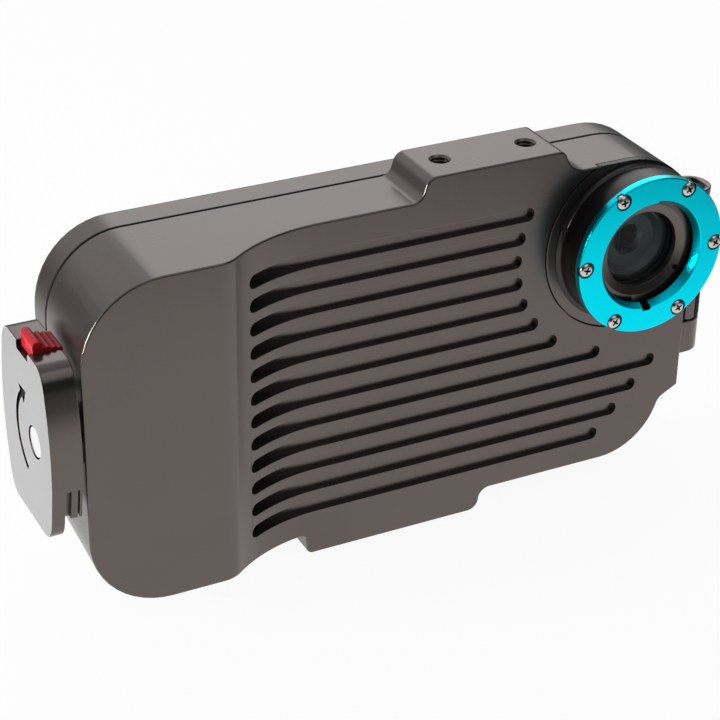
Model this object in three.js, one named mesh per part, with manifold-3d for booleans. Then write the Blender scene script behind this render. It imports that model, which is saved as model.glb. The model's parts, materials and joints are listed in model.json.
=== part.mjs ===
// Underwater camera housing: two machined aluminium shells round a telephone used as a camera.
// The front shell has a hollow grip, a grooved face, a lens port, an accessory rail and a foot.
// The rear shell carries a window and push buttons, and swings on a hinge at the right end.
// Millimetres, +X to the right, +Y to the rear, +Z up; the origin is on the foot's face, between its holes.

import * as THREE from "three";
import { mergeVertices } from "three/addons/utils/BufferGeometryUtils.js";
import Module from "manifold-3d";

const wasm = await Module();
wasm.setup();

// Fits that all pieces share
const seatGap = 0.3;
const runGap = 0.1;
const overrun = 2.0;
const facetError = 0.1;

// The case as a whole
const caseLeft = 94.6;
const caseRight = 96.4;
const caseHeight = 96.7;
const footHeight = 6.6;
const faceForward = 9.2;
const frontDepth = 19.7;
const coverDepth = 9.8;
const gripRise = 11.1;
const wall = 6.0;
const frontWall = 4.5;
const gripFrontWall = 4.0;
const leftDraft = 1.9;
const leftCorner = 23.0;
const topRightCorner = 23.5;
const bottomRightCorner = 20.0;

// Outline of the lower right corner, under the hinge side
const cornerFoot = 84.5;
const stepFoot = 90.2;
const stepRise = 15.8;
const stepTop = 19.1;
const stepFillet = 4.0;
const stepEdge = 0.6;

// Accessory rail on top and foot below
const railHeight = 6.7;
const railLeft = 9.1;
const railLeftRun = 2.0;
const railLeftRound = 3.6;
const railRight = 51.5;
const railRightRun = 2.4;
const railRightCrown = 3.0;
const railRightRoot = 6.5;
const railHoleLeft = 17.5;
const railHoleSpacing = 26.8;
const railHoleRadius = 2.5;
const railHoleDepth = 9.0;
const railHoleChamfer = 0.6;
const footLeft = -26.3;
const footRight = 28.8;
const footRun = 0.6;
const footLeftRound = 1.9;
const footRightRound = 3.5;
const footHoleReach = 17.5;

// Ramp between the thin face and the grip
const gripWidth = 38.1;
const rampRun = 33.0;
const rampCrownShare = 0.165;
const gripEdge = 1.2;
const gripHollowCorner = 6.0;

// Grooves milled in the thin face
const grooveCount = 12;
const grooveWidth = 3.8;
const grooveDepth = 1.8;
const grooveDrop = 9.4;
const grooveRise = 10.3;
const grooveInset = 10.6;
const groovePortMargin = 8.0;
const grooveLongEnd = 85.1;
const grooveStepBack = 6.1;

// Lens port
const portX = 74.5;
const portDrop = 24.8;
const flangeWidth = 4.35;
const flangeDepth = 1.7;
const flangeShadowGap = 0.4;
const barrelRadius = 22.85;
const barrelFillet = 1.6;
const barrelLength = 8.3;
const neckInset = 2.0;
const barrelWall = 4.95;
const retainerWidth = 6.5;
const retainerSink = 0.6;
const retainerThickness = 3.0;
const retainerHoleRadius = 0.8;
const retainerHoleDepth = 1.5;
const retainerHoleInset = 1.7;
const retainerHoleAngle = -34;
const glassInset = 2.9;
const glassThickness = 2.0;
const gasketThickness = 1.0;
const gasketWidth = 2.6;
const neckWall = 2.3;
const baffleRim = 1.2;
const baffleThroat = 4.4;
const baffleLength = 5.0;
const baffleThroatDepth = 2.8;
const baffleLip = 0.8;
const portSealReach = 1.4;
const portSealWidth = 1.8;
const portSealThickness = 0.9;
const portScrewCount = 3;
const portScrewInset = 3.35;
const portScrewStartAngle = 140;
const portScrewStepAngle = 40;
const portScrewRadius = 1.2;
const portScrewLength = 8.0;
const portScrewHead = 2.2;
const portScrewHeadHeight = 1.3;

// Ring on the port, with its bayonet and its screws
const ringOverhang = 1.05;
const ringThickness = 2.4;
const ringEdge = 0.5;
const ringLipReach = 2.7;
const ringOpenReach = 0.9;
const ringMouthFlare = 0.7;
const ringOpenStartAngle = -94;
const ringOpenEndAngle = 83;
const ringNotchWidth = 2.4;
const ringNotchSink = 1.4;
const ringNotchAngle = -84;
const ringScrewCount = 6;
const ringScrewInset = 1.31;
const ringPocketRadius = 2.5;
const ringPocketDepth = 1.3;
const screwHeadRadius = 2.1;
const screwHeadHeight = 1.5;
const screwCrownHeight = 0.5;
const screwCrownRadius = 1.4;
const screwShankRadius = 0.9;
const screwShankLength = 4.6;
const crossWidth = 0.55;
const crossLength = 2.3;
const crossDepth = 0.8;

// Hinge on the right end and the strap eyelet above it
const hingeX = 103.1;
const hingeY = 2.8;
const hingeRadius = 6.0;
const hingeRise = 21.7;
const hingeDrop = 26.8;
const knuckleLength = 10.6;
const knuckleGap = 0.4;
const hingePinRadius = 2.0;
const hingeArmCorner = 8.0;
const hingeArmRoot = 6.4;
const eyeletDrop = 17.9;
const eyeletThickness = 2.6;
const eyeletRearInset = 1.6;
const eyeletRim = 2.3;
const eyeletSlotLeft = 4.8;
const eyeletSlotMargin = 1.9;
const eyeletSlotCorner = 2.2;

// Main seal between the shells
const sealOffset = 2.0;
const sealWidth = 1.8;
const sealThickness = 1.7;

// Rear cover, its window and the frame inside
const coverWall = 4.5;
const windowInset = 44.6;
const windowRight = 70.0;
const windowRise = 18.4;
const windowDrop = 18.3;
const windowCorner = 6.0;
const paneMargin = 4.0;
const paneThickness = 2.9;
const windowSealInset = 1.0;
const windowSealWidth = 1.8;
const windowSealThickness = 0.9;
const frameThickness = 1.8;
const frameLap = 3.0;
const frameReach = 1.0;
const frameScrewRadius = 1.2;
const frameHeadRadius = 2.2;
const frameHeadHeight = 1.0;
const frameScrewLength = 6.0;
const frameBossRadius = 2.6;
const frameScrewInset = 16.0;
const frameScrewLift = 2.6;
const frameScrewsPerSide = 2;

// Push buttons on the rear cover
const buttonCount = 5;
const buttonInset = 20.1;
const buttonPitch = 13.0;
const buttonRadius = 4.6;
const buttonProud = 2.2;
const buttonCrown = 0.8;
const buttonTravel = 1.4;
const buttonCapUnder = 0.4;
const buttonShaftRadius = 1.6;
const buttonBossRadius = 6.6;
const buttonBossHeight = 2.6;
const buttonSealRadius = 3.2;
const buttonSealThickness = 1.5;
const buttonClipRadius = 3.4;
const buttonClipThickness = 0.8;
const buttonClipGroove = 0.3;
const buttonTailLength = 1.0;
const buttonClipMouth = 1.5;
const springOuter = 3.4;
const springInner = 2.2;
const springSolidLength = 1.0;

// Latch on the left end
const pivotY = -11.0;
const pivotRise = 3.55;
const leverGap = 1.3;
const leverThickness = 8.8;
const leverTail = 3.7;
const leverHalfHeight = 25.0;
const leverHalfWidth = 18.6;
const leverShoulder = 16.7;
const leverShoulderHeight = 17.0;
const leverFlat = 10.0;
const leverPull = 15.6;
const leverOffset = 6.7;
const leverBlockDrop = 10.0;
const pivotHeadRadius = 4.1;
const pivotHeadThickness = 2.2;
const pivotHeadSink = 0.7;
const pivotRadius = 3.0;
const pivotTail = 1.4;
const pivotClipThickness = 1.0;
const pivotClipRadius = 5.2;
const pivotSealRadius = 4.6;
const pivotSealThickness = 1.6;
const pivotSealInset = 1.6;
const pivotPadRadius = 8.0;
const pivotPadHeight = 1.0;
const keeperRadius = 1.6;
const keeperReach = 6.9;
const keeperDepth = 4.6;
const keeperSetback = 2.6;
const keeperClearance = 1.2;
const keeperStartAngle = -104;
const keeperEndAngle = 9;
const channelFront = 1.4;
const channelWidth = 8.8;
const channelDepth = 2.4;
const lockHeight = 2.7;
const lockRibRadius = 1.0;
const lockRibCount = 4;
const lockEndInset = 1.3;
const lockSideGap = 0.3;
const lockRibOverhang = 1.8;
const lockSpringRadius = 1.2;
const lockSpringLength = 3.2;
const camInset = 1.0;
const camRib = 0.6;
const camRibCount = 3;
const camHeight = 9.6;
const camRear = 3.0;

// Electronics in the grip and pads for the telephone
const boardWidth = 24.0;
const boardMargin = 7.35;
const boardThickness = 1.6;
const boardCorner = 2.0;
const boardPostHeight = 1.6;
const boardPostRadius = 2.4;
const boardPostInset = 4.0;
const batteryWidth = 19.0;
const batteryHeight = 44.0;
const batteryThickness = 4.6;
const batteryEdge = 1.5;
const padCount = 2;
const padWidth = 16.0;
const padHeight = 60.0;
const padThickness = 2.0;
const padCorner = 3.0;
const padInset = 60.6;
const padPitch = 58.0;

// Places that follow from the sizes above
const caseBottom = footHeight;
const caseTop = caseBottom + caseHeight;
const drawnLeft = caseLeft - leftDraft;
const caseMiddle = caseBottom + caseHeight / 2;
const faceY = -faceForward;
const partingFront = faceY + frontDepth;
const gripY = faceY - gripRise;
const coverFront = partingFront + seatGap;
const coverRear = coverFront + coverDepth;
const cavityFloor = faceY + frontWall;
const gripFloor = gripY + gripFrontWall;
const threadY = (faceY + partingFront) / 2;
const rampStart = -caseLeft + gripWidth;
const rampEnd = rampStart + rampRun;
const grooveLeft = rampStart + grooveInset;
const grooveTop = caseTop - grooveDrop;
const groovePitch = (caseHeight - grooveDrop - grooveRise) / (grooveCount - 1);
const portZ = caseTop - portDrop;
const flangeRadius = barrelRadius + flangeWidth;
const groovePortReach = flangeRadius + groovePortMargin;
const grooveArcCount = Math.ceil((groovePortReach + grooveTop - portZ) / groovePitch);
const barrelBore = barrelRadius - barrelWall;
const glassRadius = barrelBore - glassInset;
const neckRadius = glassRadius - neckInset;
const retainerInner = barrelBore - retainerWidth;
const retainerHoleCircle = retainerInner + retainerHoleInset;
const gasketInner = glassRadius - gasketWidth;
const baffleBore = neckRadius - neckWall;
const baffleMouth = baffleBore - seatGap - baffleRim;
const portSealInner = neckRadius + portSealReach;
const portSealOuter = portSealInner + portSealWidth;
const portScrewCircle = barrelRadius - portScrewInset;
const ringRadius = barrelRadius + ringOverhang;
const ringLipRadius = barrelBore - ringLipReach;
const ringOpenRadius = barrelBore - ringOpenReach;
const ringOpenMouth = ringOpenRadius + ringMouthFlare;
const ringNotchReach = ringOpenRadius + ringNotchSink;
const ringScrewCircle = barrelRadius - ringScrewInset;
const counterboreFloor = faceY + flangeDepth + seatGap;
const barrelFront = faceY - barrelLength;
const ringBack = barrelFront - seatGap;
const ringFront = ringBack - ringThickness;
const retainerFront = barrelFront + retainerSink;
const retainerBack = retainerFront + retainerThickness;
const glassFront = retainerBack + seatGap;
const glassBack = glassFront + glassThickness;
const gasketBack = glassBack + seatGap + gasketThickness;
const ledge = gasketBack + seatGap;
const neckEnd = cavityFloor - seatGap;
const baffleFront = glassBack + 2 * seatGap;
const pivotZ = caseMiddle + pivotRise;
const leverInner = -caseLeft - leverGap;
const leverOuter = leverInner - leverThickness;
const tailInner = leverOuter + leverTail;
const leverY = pivotY + leverOffset;
const leverTopZ = pivotZ + leverHalfHeight;
const coverFloor = coverRear - coverWall;
const hingeBottom = caseBottom + hingeRise;
const hingeTop = caseTop - hingeDrop;
const eyeletTop = caseTop - eyeletDrop;
const windowLeft = -caseLeft + windowInset;
const buttonX = -caseLeft + buttonInset;
const padStart = -caseLeft + padInset;
const windowBottom = caseBottom + windowRise;
const windowTop = caseTop - windowDrop;
const boardHeight = caseHeight - 2 * (wall + boardMargin);
const armBottom = hingeBottom + knuckleLength + knuckleGap;
const armTop = hingeTop - knuckleLength - knuckleGap;
const keeperY = coverFront + keeperSetback;

const radians = THREE.MathUtils.degToRad;

// Steps that keep an arc within the facet error
function arcSteps(radius, angle) {
  const widest = 2 * Math.acos(1 - Math.min(facetError / radius, 1));
  return Math.max(1, Math.ceil(Math.abs(angle) / widest - 1e-9));
}

function circleSteps(radius) {
  return Math.max(10, 2 * Math.ceil(arcSteps(radius, 2 * Math.PI) / 2));
}

function arcPoints(x, y, radius, from, to) {
  const steps = arcSteps(radius, to - from);
  const points = [];
  for (let i = 0; i <= steps; i += 1) {
    const angle = from + ((to - from) * i) / steps;
    points.push(new THREE.Vector2(x + radius * Math.cos(angle), y + radius * Math.sin(angle)));
  }
  return points;
}

// A closed outline through corners, each with its own fillet radius
function filletedPoints(corners) {
  const points = [];
  corners.forEach(([x, y, radius], i) => {
    const [px, py] = corners[(i + corners.length - 1) % corners.length];
    const [nx, ny] = corners[(i + 1) % corners.length];
    const here = new THREE.Vector2(x, y);
    const back = new THREE.Vector2(px, py).sub(here).normalize();
    const ahead = new THREE.Vector2(nx, ny).sub(here).normalize();
    if (radius === 0) {
      points.push(here);
      return;
    }
    const half = Math.acos(back.dot(ahead)) / 2;
    const middle = back.clone().add(ahead).normalize();
    const centre = here.clone().addScaledVector(middle, radius / Math.sin(half));
    const start = here.clone().addScaledVector(back, radius / Math.tan(half)).sub(centre);
    const end = here.clone().addScaledVector(ahead, radius / Math.tan(half)).sub(centre);
    let sweep = end.angle() - start.angle();
    if (sweep > Math.PI) sweep -= 2 * Math.PI;
    if (sweep < -Math.PI) sweep += 2 * Math.PI;
    points.push(...arcPoints(centre.x, centre.y, radius, start.angle(), start.angle() + sweep));
  });
  return points;
}

const filleted = (corners) => new THREE.Shape(filletedPoints(corners));

function roundedBox(left, bottom, right, top, radius) {
  return [
    [left, bottom, radius],
    [right, bottom, radius],
    [right, top, radius],
    [left, top, radius],
  ];
}

function disc(x, y, radius) {
  const points = arcPoints(x, y, radius, 0, 2 * Math.PI);
  points.pop();
  return new THREE.Shape(points);
}

// A stadium from one end centre to the other
function stadium(x0, x1, y, radius) {
  return new THREE.Shape([
    ...arcPoints(x1, y, radius, -Math.PI / 2, Math.PI / 2),
    ...arcPoints(x0, y, radius, Math.PI / 2, (3 * Math.PI) / 2),
  ]);
}

// Turns a closed geometry into a solid, whichever way round it was drawn
function solid(geometry) {
  const bare = geometry.clone();
  bare.deleteAttribute("normal");
  bare.deleteAttribute("uv");
  const merged = mergeVertices(bare, facetError / 100);
  const triVerts = new Uint32Array(merged.index.array);
  const make = () =>
    new wasm.Manifold(
      new wasm.Mesh({ numProp: 3, vertProperties: merged.attributes.position.array, triVerts }),
    );
  const made = make();
  if (made.volume() > 0) return made;
  for (let i = 0; i < triVerts.length; i += 3) {
    [triVerts[i + 1], triVerts[i + 2]] = [triVerts[i + 2], triVerts[i + 1]];
  }
  return make();
}

const alongY = new THREE.Matrix4().makeBasis(
  new THREE.Vector3(1, 0, 0),
  new THREE.Vector3(0, 0, 1),
  new THREE.Vector3(0, -1, 0),
);
const alongX = new THREE.Matrix4().makeBasis(
  new THREE.Vector3(0, 1, 0),
  new THREE.Vector3(0, 0, 1),
  new THREE.Vector3(1, 0, 0),
);

// An outline drawn in X and Z, given depth along Y
function depthY(shape, front, rear) {
  const geometry = new THREE.ExtrudeGeometry(shape, { depth: rear - front, bevelEnabled: false });
  return geometry.applyMatrix4(alongY).translate(0, rear, 0);
}

function slabY(shape, front, rear) {
  return solid(depthY(shape, front, rear));
}

// The case's outline given depth; its left end draws in from the grip's face to the parting plane
function caseSlab(withRail, front, rear) {
  const geometry = depthY(filleted(caseCorners(withRail)), front, rear);
  const place = geometry.attributes.position;
  const straight = leftCorner - caseLeft;
  for (let i = 0; i < place.count; i += 1) {
    const x = place.getX(i);
    const share = Math.min((place.getY(i) - gripY) / (partingFront - gripY), 1);
    if (x < straight) place.setX(i, straight + (x - straight) * (1 - (share * leftDraft) / leftCorner));
  }
  return solid(geometry);
}

// An outline drawn in X and Y, given height along Z
function slabZ(shape, bottom, top) {
  const geometry = new THREE.ExtrudeGeometry(shape, { depth: top - bottom, bevelEnabled: false });
  return solid(geometry.translate(0, 0, bottom));
}

// An outline drawn in Y and Z, given width along X
function slabX(shape, left, right) {
  const geometry = new THREE.ExtrudeGeometry(shape, { depth: right - left, bevelEnabled: false });
  return solid(geometry.applyMatrix4(alongX).translate(left, 0, 0));
}

// A profile of radius and height turned round a line along Y, Z or X
function turned(profile, axis, x, y, z) {
  const points = profile.map(([radius, height]) => new THREE.Vector2(radius, height));
  const widest = Math.max(...profile.map(([radius]) => radius));
  const geometry = new THREE.LatheGeometry(points, circleSteps(widest));
  if (axis === "z") geometry.rotateX(Math.PI / 2);
  if (axis === "x") geometry.rotateZ(-Math.PI / 2);
  return solid(geometry.translate(x, y, z));
}

const rod = (radius, low, high) => [
  [0, low],
  [radius, low],
  [radius, high],
  [0, high],
];

const tube = (inner, outer, low, high) => [
  [inner, low],
  [outer, low],
  [outer, high],
  [inner, high],
  [inner, low],
];

const ring = (shape, holes) => {
  holes.forEach((hole) => shape.holes.push(new THREE.Path(hole)));
  return shape;
};

const count = (n) => Array.from({ length: n }, (_, i) => i);

// Finishes
const finish = (color, roughness, metalness) =>
  new THREE.MeshStandardMaterial({ color, roughness, metalness });
const anodised = finish(0x4b4744, 0.42, 0.75);
const blackAnodised = finish(0x17171a, 0.38, 0.7);
const blueAnodised = finish(0x00b9e4, 0.32, 0.75);
const stainless = finish(0xc9c9c7, 0.25, 1);
const silver = finish(0xbcbdbf, 0.35, 0.85);
const glass = finish(0x20282c, 0.04, 0);
const seal = finish(0x1b1b1c, 0.75, 0);
const redPlastic = finish(0xc8202a, 0.4, 0);
const blackPlastic = finish(0x202022, 0.55, 0);
const board = finish(0x1f5a33, 0.6, 0);
const foil = finish(0x8f9396, 0.45, 0.3);
const silicone = finish(0x3a3a3c, 0.85, 0);

const housing = new THREE.Group();

// Adds a finished piece as its own named mesh
function piece(name, made, material) {
  const mesh = made.getMesh();
  const geometry = new THREE.BufferGeometry();
  geometry.setAttribute("position", new THREE.BufferAttribute(mesh.vertProperties, 3));
  geometry.setIndex(new THREE.BufferAttribute(mesh.triVerts, 1));
  const flat = geometry.toNonIndexed();
  flat.computeVertexNormals();
  const part = new THREE.Mesh(flat, material);
  part.name = name;
  housing.add(part);
}

// Front view of the case; the front shell has the rail and the foot, the cover has neither
function caseCorners(withRail) {
  const foot = [
    [footLeft - footRun, caseBottom, footLeftRound],
    [footLeft, 0, footLeftRound],
    [footRight, 0, footRightRound],
    [footRight + footRun, caseBottom, footRightRound],
  ];
  const rail = [
    [railRight + railRightRun, caseTop, railRightRoot],
    [railRight, caseTop + railHeight, railRightCrown],
    [railLeft, caseTop + railHeight, railLeftRound],
    [railLeft - railLeftRun, caseTop, railLeftRound],
  ];
  return [
    [-caseLeft, caseBottom, leftCorner],
    ...(withRail ? foot : []),
    [cornerFoot, caseBottom, bottomRightCorner],
    [stepFoot, caseBottom + stepRise, stepFillet],
    [caseRight, caseBottom + stepTop, stepEdge],
    [caseRight, caseTop, topRightCorner],
    ...(withRail ? rail : []),
    [-caseLeft, caseTop, leftCorner],
  ];
}

// The same front view drawn inwards, for the hollow and the seal
function innerCorners(inset) {
  const right = stepFoot + stepEdge - inset;
  return [
    [-drawnLeft + inset, caseBottom + inset, leftCorner - inset],
    [right, caseBottom + inset, bottomRightCorner - inset],
    [right, caseTop - inset, topRightCorner - inset],
    [-drawnLeft + inset, caseTop - inset, leftCorner - inset],
  ];
}

// Plan view of the front shell: the grip stands forward and runs down to the thin face
function rampPlan() {
  const slope = 2 * Math.atan(gripRise / rampRun);
  const total = rampRun / Math.sin(slope);
  const crown = total * rampCrownShare;
  const hollow = total - crown;
  const quarter = Math.PI / 2;
  return new THREE.Shape([
    new THREE.Vector2(-caseLeft, partingFront),
    ...arcPoints(-caseLeft + gripEdge, gripY + gripEdge, gripEdge, Math.PI, 1.5 * Math.PI),
    ...arcPoints(rampStart, gripY + crown, crown, -quarter, slope - quarter),
    ...arcPoints(rampEnd, faceY - hollow, hollow, quarter + slope, quarter).slice(1),
    new THREE.Vector2(caseRight + overrun, faceY),
    new THREE.Vector2(caseRight + overrun, partingFront),
  ]);
}

// Right end of a groove: first on an arc round the port, then stepping back along the corner
function grooveEnd(index, z) {
  if (index < grooveArcCount) {
    return portX - Math.sqrt(groovePortReach ** 2 - (z - portZ) ** 2) - grooveWidth / 2;
  }
  return grooveLongEnd - grooveStepBack * (index - grooveArcCount);
}

function hingePlan(left, rear) {
  return new THREE.Shape([
    new THREE.Vector2(left, hingeY - hingeRadius),
    ...arcPoints(hingeX, hingeY, hingeRadius, -Math.PI / 2, Math.PI / 2),
    new THREE.Vector2(hingeX, rear),
    new THREE.Vector2(left, rear),
  ]);
}

function frontHousing() {
  let shell = caseSlab(true, gripY, partingFront);
  shell = shell.intersect(slabZ(rampPlan(), -overrun, caseTop + railHeight + overrun));
  // Hollow for the telephone, and the deeper hollow of the grip
  shell = shell.subtract(
    slabY(filleted(innerCorners(wall)), cavityFloor, partingFront + overrun),
  );
  const gripHollow = [
    [-caseLeft + wall, caseBottom + wall, leftCorner - wall],
    [rampStart, caseBottom + wall, gripHollowCorner],
    [rampStart, caseTop - wall, gripHollowCorner],
    [-caseLeft + wall, caseTop - wall, leftCorner - wall],
  ];
  shell = shell.subtract(slabY(filleted(gripHollow), gripFloor, cavityFloor + seatGap));
  // Grooves
  count(grooveCount).forEach((i) => {
    const z = grooveTop - groovePitch * i;
    const end = grooveEnd(i, z);
    const slot = stadium(grooveLeft + grooveWidth / 2, end, z, grooveWidth / 2);
    shell = shell.subtract(slabY(slot, gripY - overrun, faceY + grooveDepth));
  });
  // Seat of the port, its through hole and the groove of its seal
  const seat = flangeRadius + flangeShadowGap;
  shell = shell.subtract(turned(rod(seat, faceY - overrun, counterboreFloor), "y", portX, 0, portZ));
  const hole = neckRadius + seatGap;
  shell = shell.subtract(
    turned(rod(hole, counterboreFloor - overrun, cavityFloor), "y", portX, 0, portZ),
  );
  portScrewPlaces().forEach(([x, z]) => {
    const bore = rod(portScrewRadius + runGap, counterboreFloor - overrun, cavityFloor + overrun);
    shell = shell.subtract(turned(bore, "y", x, 0, z));
  });
  const sealFloor = counterboreFloor + portSealThickness + seatGap;
  const sealGroove = tube(
    portSealInner - seatGap,
    portSealOuter + seatGap,
    counterboreFloor - overrun,
    sealFloor,
  );
  shell = shell.subtract(turned(sealGroove, "y", portX, 0, portZ));
  // Groove of the main seal
  const outerEdge = filletedPoints(innerCorners(sealOffset - seatGap));
  const innerEdge = filletedPoints(innerCorners(sealOffset + sealWidth + seatGap));
  const grooveFloor = partingFront - sealThickness - seatGap;
  shell = shell.subtract(
    slabY(ring(new THREE.Shape(outerEdge), [innerEdge]), grooveFloor, partingFront + overrun),
  );
  // Threaded holes of the rail and the foot
  const railTop = caseTop + railHeight;
  const holeProfile = (mouth, inward) => [
    [0, mouth - inward * overrun],
    [railHoleRadius + railHoleChamfer, mouth - inward * overrun],
    [railHoleRadius + railHoleChamfer, mouth],
    [railHoleRadius, mouth + inward * railHoleChamfer],
    [railHoleRadius, mouth + inward * railHoleDepth],
    [0, mouth + inward * railHoleDepth],
  ];
  [railHoleLeft, railHoleLeft + railHoleSpacing].forEach((x) => {
    shell = shell.subtract(turned(holeProfile(railTop, -1), "z", x, threadY, 0));
  });
  [-footHoleReach, footHoleReach].forEach((x) => {
    shell = shell.subtract(turned(holeProfile(0, 1), "z", x, threadY, 0));
  });
  // Hinge knuckles and strap eyelet on the right end
  const root = caseRight - wall / 2;
  const knuckle = hingePlan(root, hingeY + hingeRadius);
  shell = shell.add(slabZ(knuckle, hingeBottom, hingeBottom + knuckleLength));
  shell = shell.add(slabZ(knuckle, hingeTop - knuckleLength, hingeTop));
  const eyeletRight = hingeX + hingeRadius;
  const eyeletFront = hingeY - hingeRadius;
  const eyeletRear = partingFront - eyeletRearInset;
  const eyeletLeft = caseRight + eyeletSlotLeft;
  const plate = filleted([
    [root, eyeletFront, 0],
    [eyeletRight, eyeletFront, hingeRadius],
    [eyeletRight, eyeletRear, hingeRadius],
    [root, eyeletRear, 0],
  ]);
  ring(plate, [
    filletedPoints(
      roundedBox(
        eyeletLeft,
        eyeletFront + eyeletSlotMargin,
        eyeletRight - eyeletRim,
        eyeletRear - eyeletSlotMargin,
        eyeletSlotCorner,
      ),
    ),
  ]);
  shell = shell.add(slabZ(plate, eyeletTop - eyeletThickness, eyeletTop));
  const pinHole = rod(hingePinRadius + runGap, hingeBottom - overrun, hingeTop + overrun);
  shell = shell.subtract(turned(pinHole, "z", hingeX, hingeY, 0));
  // Raised pad and bore of the latch's pivot, with the groove of its seal
  const pad = rod(pivotPadRadius, -caseLeft - pivotPadHeight, -caseLeft + wall / 2);
  shell = shell.add(turned(pad, "x", 0, pivotY, pivotZ));
  const inside = -caseLeft + wall;
  const bore = rod(pivotRadius + runGap, -caseLeft - overrun, inside + overrun);
  shell = shell.subtract(turned(bore, "x", 0, pivotY, pivotZ));
  const pivotGroove = rod(
    pivotSealRadius + seatGap,
    -caseLeft + pivotSealInset - seatGap,
    -caseLeft + pivotSealInset + pivotSealThickness + seatGap,
  );
  shell = shell.subtract(turned(pivotGroove, "x", 0, pivotY, pivotZ));
  // Posts that hold the control board
  boardPosts().forEach(([x, z]) => {
    const post = rod(boardPostRadius, gripFloor - gripFrontWall / 2, gripFloor + boardPostHeight);
    shell = shell.add(turned(post, "y", x, 0, z));
  });
  piece("front_housing", shell, anodised);
}

// Centre of the grip's hollow, where the board sits
const boardX = (-caseLeft + wall + rampStart) / 2;

function boardPosts() {
  const dx = boardWidth / 2 - boardPostInset;
  const dz = boardHeight / 2 - boardPostInset;
  return [
    [boardX - dx, caseMiddle - dz],
    [boardX + dx, caseMiddle - dz],
    [boardX - dx, caseMiddle + dz],
    [boardX + dx, caseMiddle + dz],
  ];
}

function mainSeal() {
  const outerEdge = filletedPoints(innerCorners(sealOffset));
  const innerEdge = filletedPoints(innerCorners(sealOffset + sealWidth));
  const band = ring(new THREE.Shape(outerEdge), [innerEdge]);
  piece("main_seal", slabY(band, partingFront - sealThickness, partingFront), seal);
}

// Screws of the window frame, above and below the pane
function frameScrewPlaces() {
  const left = windowLeft + frameScrewInset;
  const step = (windowRight - windowLeft - 2 * frameScrewInset) / (frameScrewsPerSide - 1);
  const low = windowBottom - paneMargin - frameScrewLift - seatGap;
  const high = windowTop + paneMargin + frameScrewLift + seatGap;
  return [low, high].flatMap((z) => count(frameScrewsPerSide).map((i) => [left + step * i, z]));
}

const buttonPlaces = count(buttonCount).map(
  (i) => (windowBottom + windowTop) / 2 + buttonPitch * ((buttonCount - 1) / 2 - i),
);
const buttonWellDepth = buttonCapUnder + buttonTravel + springSolidLength + 2 * seatGap;
const wellFloor = coverRear - buttonWellDepth;
const bossFront = coverFloor - buttonBossHeight;
const sealPocketTop = bossFront + buttonSealThickness + seatGap;

function rearCover() {
  let shell = caseSlab(false, coverFront, coverRear);
  shell = shell.subtract(slabY(filleted(innerCorners(wall)), coverFront - overrun, coverFloor));
  // Hinge arm, which reaches forward round the end of the front shell
  const armRight = hingeX + hingeRadius;
  const arm = new THREE.Shape([
    new THREE.Vector2(caseRight - hingeArmRoot, coverFront),
    new THREE.Vector2(hingeX - hingeRadius, coverFront),
    ...arcPoints(hingeX, hingeY, hingeRadius, Math.PI, 2 * Math.PI),
    ...arcPoints(
      armRight - hingeArmCorner,
      coverRear - hingeArmCorner,
      hingeArmCorner,
      0,
      Math.PI / 2,
    ),
    new THREE.Vector2(caseRight - hingeArmRoot, coverRear),
  ]);
  shell = shell.add(slabZ(arm, armBottom, armTop));
  const pinHole = rod(hingePinRadius + runGap, armBottom - overrun, armTop + overrun);
  shell = shell.subtract(turned(pinHole, "z", hingeX, hingeY, 0));
  // Bosses inside for the buttons and the frame's screws
  buttonPlaces.forEach((z) => {
    const boss = rod(buttonBossRadius, bossFront, coverFloor + coverWall / 2);
    shell = shell.add(turned(boss, "y", buttonX, 0, z));
  });
  const frameSeat = coverFloor - seatGap - paneThickness;
  frameScrewPlaces().forEach(([x, z]) => {
    const boss = rod(frameBossRadius, frameSeat, coverFloor + coverWall / 2);
    shell = shell.add(turned(boss, "y", x, 0, z));
  });
  // Window opening with the groove of its seal
  const opening = roundedBox(windowLeft, windowBottom, windowRight, windowTop, windowCorner);
  shell = shell.subtract(slabY(filleted(opening), coverFloor - overrun, coverRear + overrun));
  const sealShape = windowBand(
    windowSealInset - seatGap,
    windowSealInset + windowSealWidth + seatGap,
  );
  const sealFloor = coverFloor + windowSealThickness + seatGap;
  shell = shell.subtract(slabY(sealShape, coverFloor - seatGap, sealFloor));
  // Wells, shaft bores and seal pockets of the buttons
  buttonPlaces.forEach((z) => {
    const bore = [
      [0, bossFront - overrun],
      [buttonSealRadius + seatGap, bossFront - overrun],
      [buttonSealRadius + seatGap, sealPocketTop],
      [buttonShaftRadius + runGap, sealPocketTop],
      [buttonShaftRadius + runGap, wellFloor],
      [buttonRadius + runGap, wellFloor],
      [buttonRadius + runGap, coverRear + overrun],
      [0, coverRear + overrun],
    ];
    shell = shell.subtract(turned(bore, "y", buttonX, 0, z));
  });
  frameScrewPlaces().forEach(([x, z]) => {
    const depth = frameScrewLength + frameHeadHeight - frameThickness;
    const bore = rod(frameScrewRadius + runGap, frameSeat - overrun, frameSeat + depth);
    shell = shell.subtract(turned(bore, "y", x, 0, z));
  });
  // Hole of the keeper pin
  const keeperHole = rod(
    keeperRadius + runGap,
    -drawnLeft - overrun,
    -drawnLeft + keeperDepth + seatGap,
  );
  shell = shell.subtract(turned(keeperHole, "x", 0, keeperY, pivotZ));
  piece("rear_cover", shell, anodised);
}

// A band that runs round the window opening, between two distances from its edge
function windowBand(near, far) {
  const edge = (reach) =>
    filletedPoints(
      roundedBox(
        windowLeft - reach,
        windowBottom - reach,
        windowRight + reach,
        windowTop + reach,
        windowCorner + reach,
      ),
    );
  return ring(new THREE.Shape(edge(far)), [edge(near)]);
}

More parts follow.
